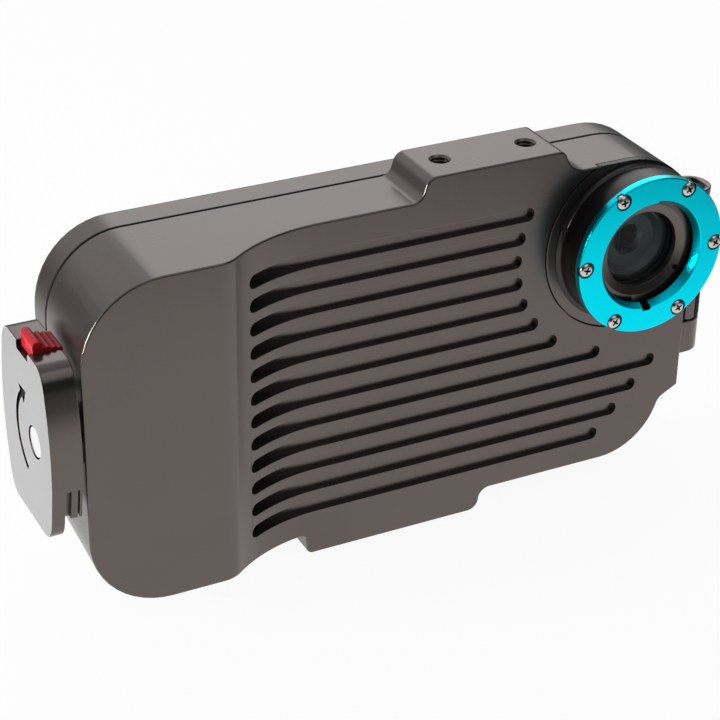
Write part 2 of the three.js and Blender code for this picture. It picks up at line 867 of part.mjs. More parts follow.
function rearWindow() {
  const pane = roundedBox(
    windowLeft - paneMargin,
    windowBottom - paneMargin,
    windowRight + paneMargin,
    windowTop + paneMargin,
    windowCorner,
  );
  const paneBack = coverFloor - seatGap;
  piece("rear_window", slabY(filleted(pane), paneBack - paneThickness, paneBack), glass);
  const sealShape = windowBand(windowSealInset, windowSealInset + windowSealWidth);
  piece("window_seal", slabY(sealShape, coverFloor, coverFloor + windowSealThickness), seal);
  // The frame laps over the pane and takes the screws in its upper and lower bars
  const frameBack = paneBack - paneThickness - seatGap;
  const bar = paneMargin + 2 * frameScrewLift + seatGap;
  const outer = filletedPoints(
    roundedBox(
      windowLeft - paneMargin - frameReach,
      windowBottom - bar,
      windowRight + paneMargin + frameReach,
      windowTop + bar,
      windowCorner,
    ),
  );
  const lap = frameLap - paneMargin;
  const inner = filletedPoints(
    roundedBox(
      windowLeft + lap,
      windowBottom + lap,
      windowRight - lap,
      windowTop - lap,
      windowCorner,
    ),
  );
  const frameFront = frameBack - frameThickness;
  const headSeat = frameFront + frameHeadHeight;
  let frame = slabY(ring(new THREE.Shape(outer), [inner]), frameFront, frameBack);
  frameScrewPlaces().forEach(([x, z]) => {
    const hole = [
      [0, frameFront - overrun],
      [frameHeadRadius + seatGap, frameFront - overrun],
      [frameHeadRadius + seatGap, headSeat + seatGap],
      [frameScrewRadius + runGap, headSeat + seatGap],
      [frameScrewRadius + runGap, frameBack + overrun],
      [0, frameBack + overrun],
    ];
    frame = frame.subtract(turned(hole, "y", x, 0, z));
  });
  piece("window_frame", frame, blackAnodised);
  frameScrewPlaces().forEach(([x, z], i) => {
    const screw = [
      [0, frameFront],
      [frameHeadRadius, frameFront],
      [frameHeadRadius, headSeat],
      [frameScrewRadius, headSeat],
      [frameScrewRadius, headSeat + frameScrewLength],
      [0, headSeat + frameScrewLength],
    ];
    piece("window_screw_" + (i + 1), turned(screw, "y", x, 0, z), stainless);
  });
}

// Each button is a cap on a shaft, with a return spring, a seal and a clip that keeps it in
function buttons() {
  const capRear = coverRear + buttonProud;
  const capFront = capRear - buttonProud - buttonCapUnder;
  const clipBack = bossFront - seatGap;
  const clipFront = clipBack - buttonClipThickness;
  const neck = buttonShaftRadius - buttonClipGroove;
  buttonPlaces.forEach((z, i) => {
    const number = i + 1;
    const cap = [
      [0, clipFront - buttonTailLength],
      [buttonShaftRadius, clipFront - buttonTailLength],
      [buttonShaftRadius, clipFront - runGap],
      [neck, clipFront - runGap],
      [neck, clipBack + runGap],
      [buttonShaftRadius, clipBack + runGap],
      [buttonShaftRadius, capFront],
      [buttonRadius, capFront],
      [buttonRadius, capRear - buttonCrown],
      [buttonRadius - buttonCrown, capRear],
      [0, capRear],
    ];
    piece("button_" + number, turned(cap, "y", buttonX, 0, z), silver);
    const coil = tube(springInner, springOuter, wellFloor + seatGap, capFront - seatGap);
    piece("button_spring_" + number, turned(coil, "y", buttonX, 0, z), stainless);
    const packing = tube(
      buttonShaftRadius + runGap,
      buttonSealRadius,
      bossFront,
      bossFront + buttonSealThickness,
    );
    piece("button_seal_" + number, turned(packing, "y", buttonX, 0, z), seal);
    let clip = turned(tube(neck + runGap, buttonClipRadius, clipFront, clipBack), "y", buttonX, 0, z);
    const mouth = roundedBox(
      buttonX,
      z - buttonClipMouth / 2,
      buttonX + buttonClipRadius + overrun,
      z + buttonClipMouth / 2,
      0,
    );
    clip = clip.subtract(slabY(filleted(mouth), clipFront - overrun, clipBack + overrun));
    piece("button_clip_" + number, clip, stainless);
  });
}

function port() {
  const barrel = [
    [barrelBore, barrelFront],
    [barrelRadius, barrelFront],
    ...arcPoints(
      barrelRadius + barrelFillet,
      faceY - barrelFillet,
      barrelFillet,
      Math.PI,
      Math.PI / 2,
    ).map((p) => [p.x, p.y]),
    [flangeRadius, faceY],
    [flangeRadius, faceY + flangeDepth],
    [neckRadius, faceY + flangeDepth],
    [neckRadius, neckEnd],
    [baffleBore, neckEnd],
    [baffleBore, ledge],
    [glassRadius + seatGap, ledge],
    [glassRadius + seatGap, retainerBack],
    [barrelBore, retainerBack],
    [barrelBore, barrelFront],
  ];
  // The flange is trimmed flush with the case, whose corner it reaches over
  const root = faceY - barrelFillet;
  const limits = caseSlab(true, root, cavityFloor).add(
    turned(rod(flangeRadius, barrelFront - overrun, root), "y", portX, 0, portZ),
  );
  let body = turned(barrel, "y", portX, 0, portZ).intersect(limits);
  portScrewPlaces().forEach(([x, z]) => {
    const bore = rod(portScrewRadius + runGap, cavityFloor - portScrewLength, cavityFloor);
    body = body.subtract(turned(bore, "y", x, 0, z));
  });
  ringScrewPlaces().forEach(([x, z]) => {
    const hole = rod(screwShankRadius + runGap, barrelFront - overrun, barrelFront + screwShankLength);
    body = body.subtract(turned(hole, "y", x, 0, z));
  });
  piece("port_barrel", body, blackAnodised);

  const packing = tube(
    portSealInner,
    portSealOuter,
    counterboreFloor,
    counterboreFloor + portSealThickness,
  );
  piece("port_seal", turned(packing, "y", portX, 0, portZ), seal);

  portScrewPlaces().forEach(([x, z], i) => {
    const under = cavityFloor + seatGap;
    const screw = [
      [0, under - portScrewLength],
      [portScrewRadius, under - portScrewLength],
      [portScrewRadius, under],
      [portScrewHead, under],
      [portScrewHead, under + portScrewHeadHeight],
      [0, under + portScrewHeadHeight],
    ];
    piece("port_screw_" + (i + 1), turned(screw, "y", x, 0, z), stainless);
  });

  const retainer = tube(retainerInner, barrelBore - seatGap, retainerFront, retainerBack);
  let cap = turned(retainer, "y", portX, 0, portZ);
  [retainerHoleAngle, retainerHoleAngle + 180].forEach((angle) => {
    const x = portX + retainerHoleCircle * Math.cos(radians(angle));
    const z = portZ + retainerHoleCircle * Math.sin(radians(angle));
    const hole = rod(retainerHoleRadius, retainerFront - overrun, retainerFront + retainerHoleDepth);
    cap = cap.subtract(turned(hole, "y", x, 0, z));
  });
  piece("port_retainer", cap, blackAnodised);

  piece("port_glass", turned(rod(glassRadius, glassFront, glassBack), "y", portX, 0, portZ), glass);
  const gasket = tube(gasketInner, glassRadius, glassBack + seatGap, gasketBack);
  piece("glass_seal", turned(gasket, "y", portX, 0, portZ), seal);

  // Stepped tube that narrows to the telephone's lens
  const baffle = [
    [baffleMouth, baffleFront],
    [baffleBore - seatGap, baffleFront],
    [baffleBore - seatGap, baffleFront + baffleLength],
    [baffleThroat, baffleFront + baffleLength],
    [baffleThroat, baffleFront + baffleThroatDepth],
    [baffleMouth - baffleLip, baffleFront + baffleLip],
    [baffleMouth, baffleFront],
  ];
  piece("lens_baffle", turned(baffle, "y", portX, 0, portZ), blackPlastic);
}

// Screws that hold the port from inside, along its left side
function portScrewPlaces() {
  return count(portScrewCount).map((i) => {
    const angle = radians(portScrewStartAngle + portScrewStepAngle * i);
    return [portX + portScrewCircle * Math.cos(angle), portZ + portScrewCircle * Math.sin(angle)];
  });
}

function ringScrewPlaces() {
  return count(ringScrewCount).map((i) => {
    const angle = (2 * Math.PI * i) / ringScrewCount;
    return [portX + ringScrewCircle * Math.cos(angle), portZ + ringScrewCircle * Math.sin(angle)];
  });
}

// A pie slice round a centre, drawn wide enough to cut the whole radius
function slice(x, y, radius, from, to) {
  return new THREE.Shape([
    new THREE.Vector2(x, y),
    ...arcPoints(x, y, radius, radians(from), radians(to)),
  ]);
}

function portRing() {
  const blank = [
    [ringLipRadius, ringFront + ringEdge],
    [ringLipRadius + ringEdge, ringFront],
    [ringRadius - ringEdge, ringFront],
    [ringRadius, ringFront + ringEdge],
    [ringRadius, ringBack],
    [ringLipRadius, ringBack],
    [ringLipRadius, ringFront + ringEdge],
  ];
  let body = turned(blank, "y", portX, 0, portZ);
  // Open half of the bayonet, wider at its mouth, and the notch where it starts
  const opening = [
    [0, ringFront - overrun],
    [ringOpenMouth, ringFront - overrun],
    [ringOpenMouth, ringFront],
    [ringOpenRadius, ringFront + ringMouthFlare],
    [ringOpenRadius, ringBack + overrun],
    [0, ringBack + overrun],
  ];
  const half = slabY(
    slice(portX, portZ, ringRadius, ringOpenStartAngle, ringOpenEndAngle),
    ringFront - 2 * overrun,
    ringBack + 2 * overrun,
  );
  body = body.subtract(turned(opening, "y", portX, 0, portZ).intersect(half));
  const notch = slabY(
    filleted(roundedBox(0, -ringNotchWidth / 2, ringNotchReach, ringNotchWidth / 2, 0)),
    ringFront - overrun,
    ringBack + overrun,
  );
  body = body.subtract(notch.rotate([0, -ringNotchAngle, 0]).translate([portX, 0, portZ]));
  ringScrewPlaces().forEach(([x, z]) => {
    const pocket = [
      [0, ringFront - overrun],
      [ringPocketRadius, ringFront - overrun],
      [ringPocketRadius, ringFront + ringPocketDepth],
      [screwShankRadius + runGap, ringFront + ringPocketDepth],
      [screwShankRadius + runGap, ringBack + overrun],
      [0, ringBack + overrun],
    ];
    body = body.subtract(turned(pocket, "y", x, 0, z));
  });
  piece("port_ring", body, blueAnodised);
}

function ringScrews() {
  const under = ringFront + ringPocketDepth - seatGap;
  const top = under - screwHeadHeight;
  const profile = [
    [0, top],
    [screwCrownRadius, top],
    [screwHeadRadius, top + screwCrownHeight],
    [screwHeadRadius, under],
    [screwShankRadius, under],
    [screwShankRadius, under + screwShankLength],
    [0, under + screwShankLength],
  ];
  const bar = (x, z, width, height) =>
    slabY(
      filleted(
        roundedBox(x - width / 2, z - height / 2, x + width / 2, z + height / 2, 0),
      ),
      top - overrun,
      top + crossDepth,
    );
  ringScrewPlaces().forEach(([x, z], i) => {
    const cross = bar(x, z, crossLength, crossWidth).add(bar(x, z, crossWidth, crossLength));
    piece("ring_screw_" + (i + 1), turned(profile, "y", x, 0, z).subtract(cross), stainless);
  });
}

function hingePin() {
  const profile = rod(hingePinRadius, hingeBottom, hingeTop);
  piece("hinge_pin", turned(profile, "z", hingeX, hingeY, 0), stainless);
}

// Side view of the lever: a barrel shape with flat ends, drawn in Y and Z
function leverPoints(inset) {
  const flat = leverFlat - inset / 2;
  const wide = leverHalfWidth - inset;
  const shoulder = leverShoulder - inset;
  const high = leverHalfHeight - inset;
  const low = leverShoulderHeight;
  const bulge = 2 * wide - shoulder;
  const pull = leverPull - inset;
  const quarter = [
    [flat, high, pull, high, shoulder, low],
    [shoulder, low, bulge, 0, shoulder, -low],
    [shoulder, -low, pull, -high, flat, -high],
    [-flat, -high, -pull, -high, -shoulder, -low],
    [-shoulder, -low, -bulge, 0, -shoulder, low],
    [-shoulder, low, -pull, high, -flat, high],
  ];
  const points = [];
  quarter.forEach(([ax, ay, bx, by, cx, cy]) => {
    const curve = new THREE.QuadraticBezierCurve(
      new THREE.Vector2(leverY + ax, pivotZ + ay),
      new THREE.Vector2(leverY + bx, pivotZ + by),
      new THREE.Vector2(leverY + cx, pivotZ + cy),
    );
    const steps = 6;
    curve.getPoints(steps).forEach((p, i) => {
      const repeat = points.length > 0 && i === 0 && points[points.length - 1].distanceTo(p) < facetError;
      if (!repeat) points.push(p);
    });
  });
  return points;
}

const channelLow = leverTopZ - channelDepth;
const channelRear = pivotY + channelFront + channelWidth;

function latch() {
  let lever = slabX(new THREE.Shape(leverPoints(0)), leverOuter, leverInner);
  // Behind the tail the lever is cut back to a plate
  const blockBottom = pivotZ - leverBlockDrop;
  const behindTail = filleted(
    roundedBox(
      leverY - 2 * leverHalfWidth,
      pivotZ - 2 * leverHalfHeight,
      leverY + 2 * leverHalfWidth,
      blockBottom,
      0,
    ),
  );
  lever = lever.subtract(slabX(behindTail, tailInner, leverInner + overrun));
  // Track of the keeper pin round the pivot, open to the rear
  const keeperCircle = keeperY - pivotY;
  const trackInner = keeperCircle - keeperRadius - keeperClearance;
  const track = ring(
    slice(pivotY, pivotZ, 2 * leverHalfHeight, keeperStartAngle, keeperEndAngle),
    [],
  );
  const hub = slabX(disc(pivotY, pivotZ, trackInner), tailInner - overrun, leverInner + 2 * overrun);
  lever = lever.subtract(slabX(track, tailInner, leverInner + overrun).subtract(hub));
  // Channel of the slide across the top
  const channel = filleted(
    roundedBox(pivotY + channelFront, channelLow, channelRear, leverTopZ + overrun, 0),
  );
  lever = lever.subtract(slabX(channel, leverOuter - overrun, leverInner + overrun));
  const springPocket = rod(
    lockSpringRadius + seatGap,
    channelLow - lockSpringLength - seatGap,
    channelLow + overrun,
  );
  const lockX = (leverOuter + leverInner) / 2;
  const lockY = pivotY + channelFront + channelWidth / 2;
  lever = lever.subtract(turned(springPocket, "z", lockX, lockY, 0));
  // Bore and recess of the pivot
  const headFloor = leverOuter + pivotHeadSink + pivotHeadThickness;
  const bore = [
    [0, leverOuter - overrun],
    [pivotHeadRadius + seatGap, leverOuter - overrun],
    [pivotHeadRadius + seatGap, headFloor + seatGap],
    [pivotRadius + runGap, headFloor + seatGap],
    [pivotRadius + runGap, leverInner + overrun],
    [0, leverInner + overrun],
  ];
  lever = lever.subtract(turned(bore, "x", 0, pivotY, pivotZ));
  piece("latch_lever", lever, silver);

  const clipLeft = -caseLeft + wall + seatGap;
  const clipRight = clipLeft + pivotClipThickness;
  const neck = pivotRadius - buttonClipGroove;
  const pin = [
    [0, headFloor - pivotHeadThickness],
    [pivotHeadRadius, headFloor - pivotHeadThickness],
    [pivotHeadRadius, headFloor],
    [pivotRadius, headFloor],
    [pivotRadius, clipLeft - runGap],
    [neck, clipLeft - runGap],
    [neck, clipRight + runGap],
    [pivotRadius, clipRight + runGap],
    [pivotRadius, clipRight + pivotTail],
    [0, clipRight + pivotTail],
  ];
  piece("latch_pivot", turned(pin, "x", 0, pivotY, pivotZ), stainless);
  let clip = turned(tube(neck + runGap, pivotClipRadius, clipLeft, clipRight), "x", 0, pivotY, pivotZ);
  const mouth = roundedBox(
    pivotY - neck + seatGap,
    pivotZ - 2 * pivotClipRadius,
    pivotY + neck - seatGap,
    pivotZ,
    0,
  );
  clip = clip.subtract(slabX(filleted(mouth), clipLeft - overrun, clipRight + overrun));
  piece("pivot_clip", clip, stainless);
  const packing = tube(
    pivotRadius + runGap,
    pivotSealRadius,
    -caseLeft + pivotSealInset,
    -caseLeft + pivotSealInset + pivotSealThickness,
  );
  piece("pivot_seal", turned(packing, "x", 0, pivotY, pivotZ), seal);
  latchLock(lockX, lockY);
  latchCam(blockBottom);

  const keeper = rod(keeperRadius, -drawnLeft - keeperReach, -drawnLeft + keeperDepth);
  piece("cover_keeper", turned(keeper, "x", 0, keeperY, pivotZ), stainless);
}

// The red slide: a bar with round ribs across it
function latchLock(lockX, lockY) {
  const front = pivotY + channelFront + lockSideGap;
  const rear = channelRear - lockSideGap;
  const low = channelLow + seatGap;
  const left = leverOuter + lockEndInset;
  const right = leverInner + leverGap / 2;
  const high = leverTopZ + lockHeight - lockRibRadius;
  const profile = filleted(roundedBox(left, low, right, high, 0));
  let slide = slabY(profile, front, rear);
  const step = (right - left - 2 * lockRibRadius) / (lockRibCount - 1);
  count(lockRibCount).forEach((i) => {
    const x = left + lockRibRadius + step * i;
    slide = slide.add(slabY(disc(x, high, lockRibRadius), front - lockRibOverhang, rear));
  });
  piece("latch_lock", slide, redPlastic);
  const coil = rod(lockSpringRadius, channelLow - lockSpringLength, channelLow);
  piece("lock_spring", turned(coil, "z", lockX, lockY, 0), stainless);
}

// The ribbed block between the lever's tail and the case
function latchCam(blockBottom) {
  const left = tailInner + seatGap;
  const right = leverInner;
  const band = (right - left) / (2 * camRibCount);
  const limits = filleted(
    roundedBox(
      leverY - 2 * leverHalfWidth,
      blockBottom - seatGap - camHeight,
      pivotY + camRear,
      blockBottom - seatGap,
      0,
    ),
  );
  let cam = slabX(new THREE.Shape(leverPoints(camInset + camRib)), left, right);
  count(camRibCount).forEach((i) => {
    const from = left + band * 2 * i;
    cam = cam.add(slabX(new THREE.Shape(leverPoints(camInset)), from, from + band));
  });
  cam = cam.intersect(slabX(limits, left - overrun, right + overrun));
  piece("latch_cam", cam, blackAnodised);
}

function electronics() {
  const front = gripFloor + boardPostHeight + seatGap;
  const back = front + boardThickness;
  const plate = roundedBox(
    boardX - boardWidth / 2,
    caseMiddle - boardHeight / 2,
    boardX + boardWidth / 2,
    caseMiddle + boardHeight / 2,
    boardCorner,
  );
  piece("control_board", slabY(filleted(plate), front, back), board);
  const cell = roundedBox(
    boardX - batteryWidth / 2,
    caseMiddle - batteryHeight / 2,
    boardX + batteryWidth / 2,
    caseMiddle + batteryHeight / 2,
    batteryEdge,
  );
  const cellFront = back + seatGap;
  piece("battery", slabY(filleted(cell), cellFront, cellFront + batteryThickness), foil);
  count(padCount).forEach((i) => {
    const x = padStart + padPitch * i;
    const pad = roundedBox(
      x - padWidth / 2,
      caseMiddle - padHeight / 2,
      x + padWidth / 2,
      caseMiddle + padHeight / 2,
      padCorner,
    );
    const padFront = cavityFloor + seatGap;
    piece("phone_pad_" + (i + 1), slabY(filleted(pad), padFront, padFront + padThickness), silicone);
  });
}

frontHousing();
mainSeal();
rearCover();
rearWindow();
buttons();
port();
portRing();
ringScrews();
hingePin();
latch();
electronics();

export default housing;
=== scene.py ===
import json
import math

import bmesh
import bpy
from mathutils import Matrix, Vector


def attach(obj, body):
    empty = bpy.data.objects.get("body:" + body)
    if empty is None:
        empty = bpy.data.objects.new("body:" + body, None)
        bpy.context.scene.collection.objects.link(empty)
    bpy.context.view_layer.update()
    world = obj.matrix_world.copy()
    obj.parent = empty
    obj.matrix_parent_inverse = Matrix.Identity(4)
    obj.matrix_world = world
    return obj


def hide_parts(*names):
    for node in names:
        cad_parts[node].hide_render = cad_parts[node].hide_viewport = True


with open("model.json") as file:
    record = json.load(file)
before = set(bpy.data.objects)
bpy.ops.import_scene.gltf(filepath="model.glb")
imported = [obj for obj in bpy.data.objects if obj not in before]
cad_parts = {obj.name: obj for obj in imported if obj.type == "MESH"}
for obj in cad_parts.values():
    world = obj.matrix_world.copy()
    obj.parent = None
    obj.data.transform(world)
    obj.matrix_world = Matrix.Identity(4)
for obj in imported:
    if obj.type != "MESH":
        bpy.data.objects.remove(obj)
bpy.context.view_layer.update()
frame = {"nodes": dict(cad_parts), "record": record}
mm = 0.001
quarter = math.pi / 2

# ---- helpers for modelling in edit mode


def freshStart():
    bpy.ops.object.select_all(action="DESELECT")


def useOnly(obj):
    freshStart()
    obj.select_set(True)
    bpy.context.view_layer.objects.active = obj


def startEdit(obj, kind, action):
    useOnly(obj)
    bpy.ops.object.mode_set(mode="EDIT")
    bpy.ops.mesh.select_mode(type=kind)
    bpy.ops.mesh.select_all(action=action)


def closeUp():
    bpy.ops.mesh.select_all(action="SELECT")
    bpy.ops.mesh.normals_make_consistent(inside=False)
    bpy.ops.object.mode_set(mode="OBJECT")


def arcPoints(x, y, radius, start, end, step=7.5):
    count = max(2, math.ceil(abs(math.degrees(end - start)) / step))
    angles = [start + (end - start) * i / count for i in range(count + 1)]
    return [(x + radius * math.cos(angle), y + radius * math.sin(angle)) for angle in angles]


def filletedPoints(corners, step=7.5):
    # a corner is two places and, where it is rounded, a radius
    points = []
    for i, (x, y, *fillet) in enumerate(corners):
        if not fillet or fillet[0] == 0:
            points.append((x, y))
            continue
        here, radius = Vector((x, y)), fillet[0]
        back = (Vector(corners[i - 1][:2]) - here).normalized()
        ahead = (Vector(corners[(i + 1) % len(corners)][:2]) - here).normalized()
        half = back.angle(ahead) / 2
        centre = here + (back + ahead).normalized() * radius / math.sin(half)
        start = here + back * radius / math.tan(half) - centre
        end = here + ahead * radius / math.tan(half) - centre
        a = math.atan2(start.y, start.x)
        b = math.atan2(end.y, end.x)
        while b - a > math.pi:
            b -= 2 * math.pi
        while b - a < -math.pi:
            b += 2 * math.pi
        points += arcPoints(centre.x, centre.y, radius, a, b, step)
    return points


def flatBox(left, bottom, right, top):
    return [(left, bottom), (right, bottom), (right, top), (left, top)]


def roundBox(left, bottom, right, top, radius):
    return filletedPoints([(x, y, radius) for x, y in flatBox(left, bottom, right, top)])


def enter(obj):
    bpy.context.scene.collection.objects.link(obj)
    return obj


def onPlane(plane, u, v, level):
    return Vector({"xz": (u, level, v), "yz": (level, u, v), "xy": (u, v, level)}[plane]) * mm


def ringOfPoints(name, points, fill):
    freshStart()
    bpy.ops.mesh.primitive_circle_add(vertices=len(points), radius=0.01, fill_type=fill)
    obj = bpy.context.object
    obj.name = name
    for vertex, point in zip(obj.data.vertices, points):
        vertex.co = point
    return obj


def pulledSlab(name, points, low, high, plane="xz"):
    # a filled ring moved onto the outline, then extruded
    obj = ringOfPoints(name, [onPlane(plane, u, v, low) for u, v in points], "NGON")
    startEdit(obj, "VERT", "SELECT")
    way = onPlane(plane, 0, 0, high - low)
    bpy.ops.mesh.extrude_region_move(TRANSFORM_OT_translate={"value": way})
    closeUp()
    return obj


def spunPiece(name, profile, axis, centre, steps):
    # profile is a closed loop of radius, height and fillet radius
    points = filletedPoints(profile, 22.5)
    cx, cy, cz = centre
    if axis == "y":
        places, way = [(cx + r, cy + h, cz) for r, h in points], (0, 1, 0)
    elif axis == "x":
        places, way = [(cx + h, cy + r, cz) for r, h in points], (1, 0, 0)
    else:
        places, way = [(cx + r, cy, cz + h) for r, h in points], (0, 0, 1)
    obj = ringOfPoints(name, [Vector(place) * mm for place in places], "NOTHING")
    startEdit(obj, "VERT", "SELECT")
    bpy.ops.mesh.spin(steps=steps, angle=2 * math.pi, center=Vector(centre) * mm, axis=way)
    bpy.ops.mesh.select_all(action="SELECT")
    bpy.ops.mesh.remove_doubles(threshold=2e-6)
    bpy.ops.mesh.delete_loose()
    closeUp()
    return obj


def rod(name, axis, centre, steps, radius, low, high, soft=0.0):
    profile = [(0, low), (radius, low, soft), (radius, high, soft), (0, high)]
    return spunPiece(name, profile, axis, centre, steps)


def steppedHole(wide, thin, start, step, end, soft=0):
    return [(0, start), (wide, start), (wide, step, soft), (thin, step), (thin, end), (0, end)]


def applyModifier(obj, kind, **values):
    useOnly(obj)
    change = obj.modifiers.new("change", kind)
    for key, value in values.items():
        setattr(change, key, value)
    bpy.ops.object.modifier_apply(modifier=change.name)


def combine(obj, tool, how):
    applyModifier(obj, "BOOLEAN", operation=how, solver="EXACT", object=tool)
    bpy.data.objects.remove(tool)


def unite(obj, tool):
    combine(obj, tool, "UNION")


def cut(obj, *tools):
    # several tools go out in one step; each passes the faces that it opens by 1 to 3 mm
    if len(tools) > 1:
        useOnly(tools[0])
        for tool in tools[1:]:
            tool.select_set(True)
        bpy.ops.object.join()
    combine(obj, tools[0], "DIFFERENCE")


def softenEdges(obj, wanted, width, segments=3):
    # bevels the edges that wanted() picks by their place and their two faces
    startEdit(obj, "EDGE", "DESELECT")
    work = bmesh.from_edit_mesh(obj.data)
    for edge in work.edges:
        if len(edge.link_faces) == 2 and wanted(edge):
            edge.select_set(True)
    bmesh.update_edit_mesh(obj.data)
    bpy.ops.mesh.bevel(offset=width * mm, segments=segments, profile=0.5, clamp_overlap=False)
    bpy.ops.object.mode_set(mode="OBJECT")


def middle(edge):
    return (edge.verts[0].co + edge.verts[1].co) / mm / 2


def sharp(edge, degrees=40):
    return edge.calc_face_angle(0) > math.radians(degrees)


def faceOn(edge, direction, level):
    # true where one of the edge's faces lies in the plane at that level
    axis = max(range(3), key=lambda i: abs(direction[i]))
    return any(
        face.normal.dot(Vector(direction)) > 0.99 and abs(face.calc_center_median()[axis] / mm - level) < 0.05
        for face in edge.link_faces
    )


def rimOf(direction, level):
    return lambda edge: sharp(edge) and faceOn(edge, direction, level)


def frontRim(edge, loose):
    # true between a face that looks forward and one that stands across it
    normals = [face.normal for face in edge.link_faces]
    forward = [n for n in normals if n.y < -0.7]
    side = [n for n in normals if abs(n.y) < loose]
    return len(forward) == 1 and len(side) == 1


def movedTo(place):
    return Matrix.Translation(Vector(place) * mm)


def ownCopy(obj, name, change):
    # the change goes into the mesh
    copy = enter(obj.copy())
    copy.data = obj.data.copy()
    copy.name = name
    copy.data.transform(change)
    return copy


def finished(obj, body, slot, look, *nodes, angle=32):
    useOnly(obj)
    bpy.ops.object.shade_smooth_by_angle(angle=math.radians(angle))
    applyModifier(obj, "WEIGHTED_NORMAL", keep_sharp=True, weight=100)
    obj.data.materials.clear()
    obj.data.materials.append(finish[look])
    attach(obj, body)
    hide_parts(*nodes)


def paintFaces(obj, look, wanted):
    obj.data.materials.append(finish[look])
    index = len(obj.data.materials) - 1
    for face in obj.data.polygons:
        if wanted(face.center / mm, face.normal):
            face.material_index = index


# ---- helpers for nodes


def setInputs(tree, node, inputs):
    # each input takes a value, or a link where an output is given
    for key, value in inputs.items():
        if isinstance(value, bpy.types.NodeSocket):
            tree.links.new(value, node.inputs[key])
        else:
            node.inputs[key].default_value = value


def addNode(tree, kind, inputs=None, **attributes):
    node = tree.nodes.new(kind)
    for key, value in attributes.items():
        setattr(node, key, value)
    setInputs(tree, node, inputs or {})
    return node


def mathNode(tree, operation, *values):
    return addNode(tree, "ShaderNodeMath", dict(enumerate(values)), operation=operation).outputs[0]


def mapRange(tree, value, start=0, end=1, low=0, high=1):
    inputs = {"Value": value, "From Min": start, "From Max": end, "To Min": low, "To Max": high}
    return addNode(tree, "ShaderNodeMapRange", inputs).outputs["Result"]


def mixedOutput(tree, kind, share, first, second):
    mix = addNode(tree, "ShaderNodeMixShader", {0: share, 1: first.outputs[0], 2: second.outputs[0]})
    addNode(tree, kind, {"Surface": mix.outputs[0]})


def newMaterial(name):
    material = bpy.data.materials.new(name)
    material.use_nodes = True
    return material, material.node_tree


def newGroup(name, inputs, outputs):
    group = bpy.data.node_groups.new(name, "ShaderNodeTree")
    for label, value in inputs.items():
        socket = group.interface.new_socket(name=label, in_out="INPUT", socket_type="NodeSocketFloat")
        socket.default_value = value
    for label in outputs:
        group.interface.new_socket(name=label, in_out="OUTPUT", socket_type="NodeSocketFloat")
    return group, addNode(group, "NodeGroupInput").outputs


# ---- camera, backdrop and lamps

view = {
    "lens": 108.3, "sensor": 36, "clip": (0.01, 50),
    "azimuth": -27.155, "elevation": 29.174, "roll": 0.978, "place": (-246.58, -468.96, 347.89),
}


def makeCamera():
    az, el, roll = (math.radians(view[k]) for k in ("azimuth", "elevation", "roll"))
    back = Vector((math.sin(az) * math.cos(el), -math.cos(az) * math.cos(el), math.sin(el)))
    right = Vector((0, 0, 1)).cross(back).normalized()
    up = back.cross(right)
    turnedRight = math.cos(roll) * right + math.sin(roll) * up
    turnedUp = -math.sin(roll) * right + math.cos(roll) * up
    data = bpy.data.cameras.new("camera")
    data.lens = view["lens"]
    data.sensor_width = view["sensor"]
    data.clip_start, data.clip_end = view["clip"]
    camera = enter(bpy.data.objects.new("camera", data))
    turn = Matrix((turnedRight, turnedUp, back)).transposed().to_4x4()
    camera.matrix_world = movedTo(view["place"]) @ turn
    bpy.context.scene.camera = camera


# floorFall: near, far and the brightness there; a rise is the height over which the room brightens
studio = {
    "floorSize": 6.0, "floorDrop": 0.0003, "floorColor": 0.95, "floorShade": 0.07,
    "floorFall": (0.19, 0.40, 1.0, 0.10),
    "worldColor": (0.94, 0.98, 1.02), "worldSides": (-0.2, 0.7),
    "worldFront": (0.04, 0.45), "worldFrontRise": (0.50, 0.88),
    "worldBack": (0.15, 0.85), "worldBackRise": (0.02, 0.40),
    "lamps": {
        "lampTop": {"place": (0.50, 0.80, 0.75), "aim": (0, 0, 0.06), "size": 0.8, "power": 1.9},
        "lampLeft": {"place": (-1.0, 0.15, 0.16), "aim": (-0.05, 0, 0.05), "size": 0.5, "power": 18.0},
        "lampFront": {"place": (0.35, -0.85, 1.0), "aim": (0, 0, 0.06), "size": 0.9, "power": 1.5},
    },
}


def makeStage():
    s = studio
    freshStart()
    bpy.ops.mesh.primitive_plane_add(size=s["floorSize"], location=(0, 0, -s["floorDrop"]))
    floor = bpy.context.object
    floor.name = "floor"
    bpy.ops.object.transform_apply(location=True, rotation=True, scale=True)
    material, tree = newMaterial("floor_white")
    tree.nodes.clear()
    rays = addNode(tree, "ShaderNodeLightPath").outputs
    seen = mathNode(tree, "MAXIMUM", rays["Is Camera Ray"], rays["Is Glossy Ray"])
    seen = mathNode(tree, "MAXIMUM", seen, rays["Is Transmission Ray"])
    share = mathNode(tree, "MULTIPLY", seen, 1 - s["floorShade"])
    matt = addNode(tree, "ShaderNodeBsdfDiffuse", {"Color": [s["floorColor"]] * 3 + [1]})
    # reflections see the floor dim away from the object, the camera sees it white
    where = addNode(tree, "ShaderNodeTexCoord").outputs["Object"]
    away = addNode(tree, "ShaderNodeVectorMath", {0: where}, operation="LENGTH").outputs["Value"]
    strength = mathNode(tree, "MAXIMUM", mapRange(tree, away, *s["floorFall"]), rays["Is Camera Ray"])
    light = addNode(tree, "ShaderNodeEmission", {"Color": (1, 1, 1, 1), "Strength": strength})
    mixedOutput(tree, "ShaderNodeOutputMaterial", share, matt, light)
    floor.data.materials.append(material)


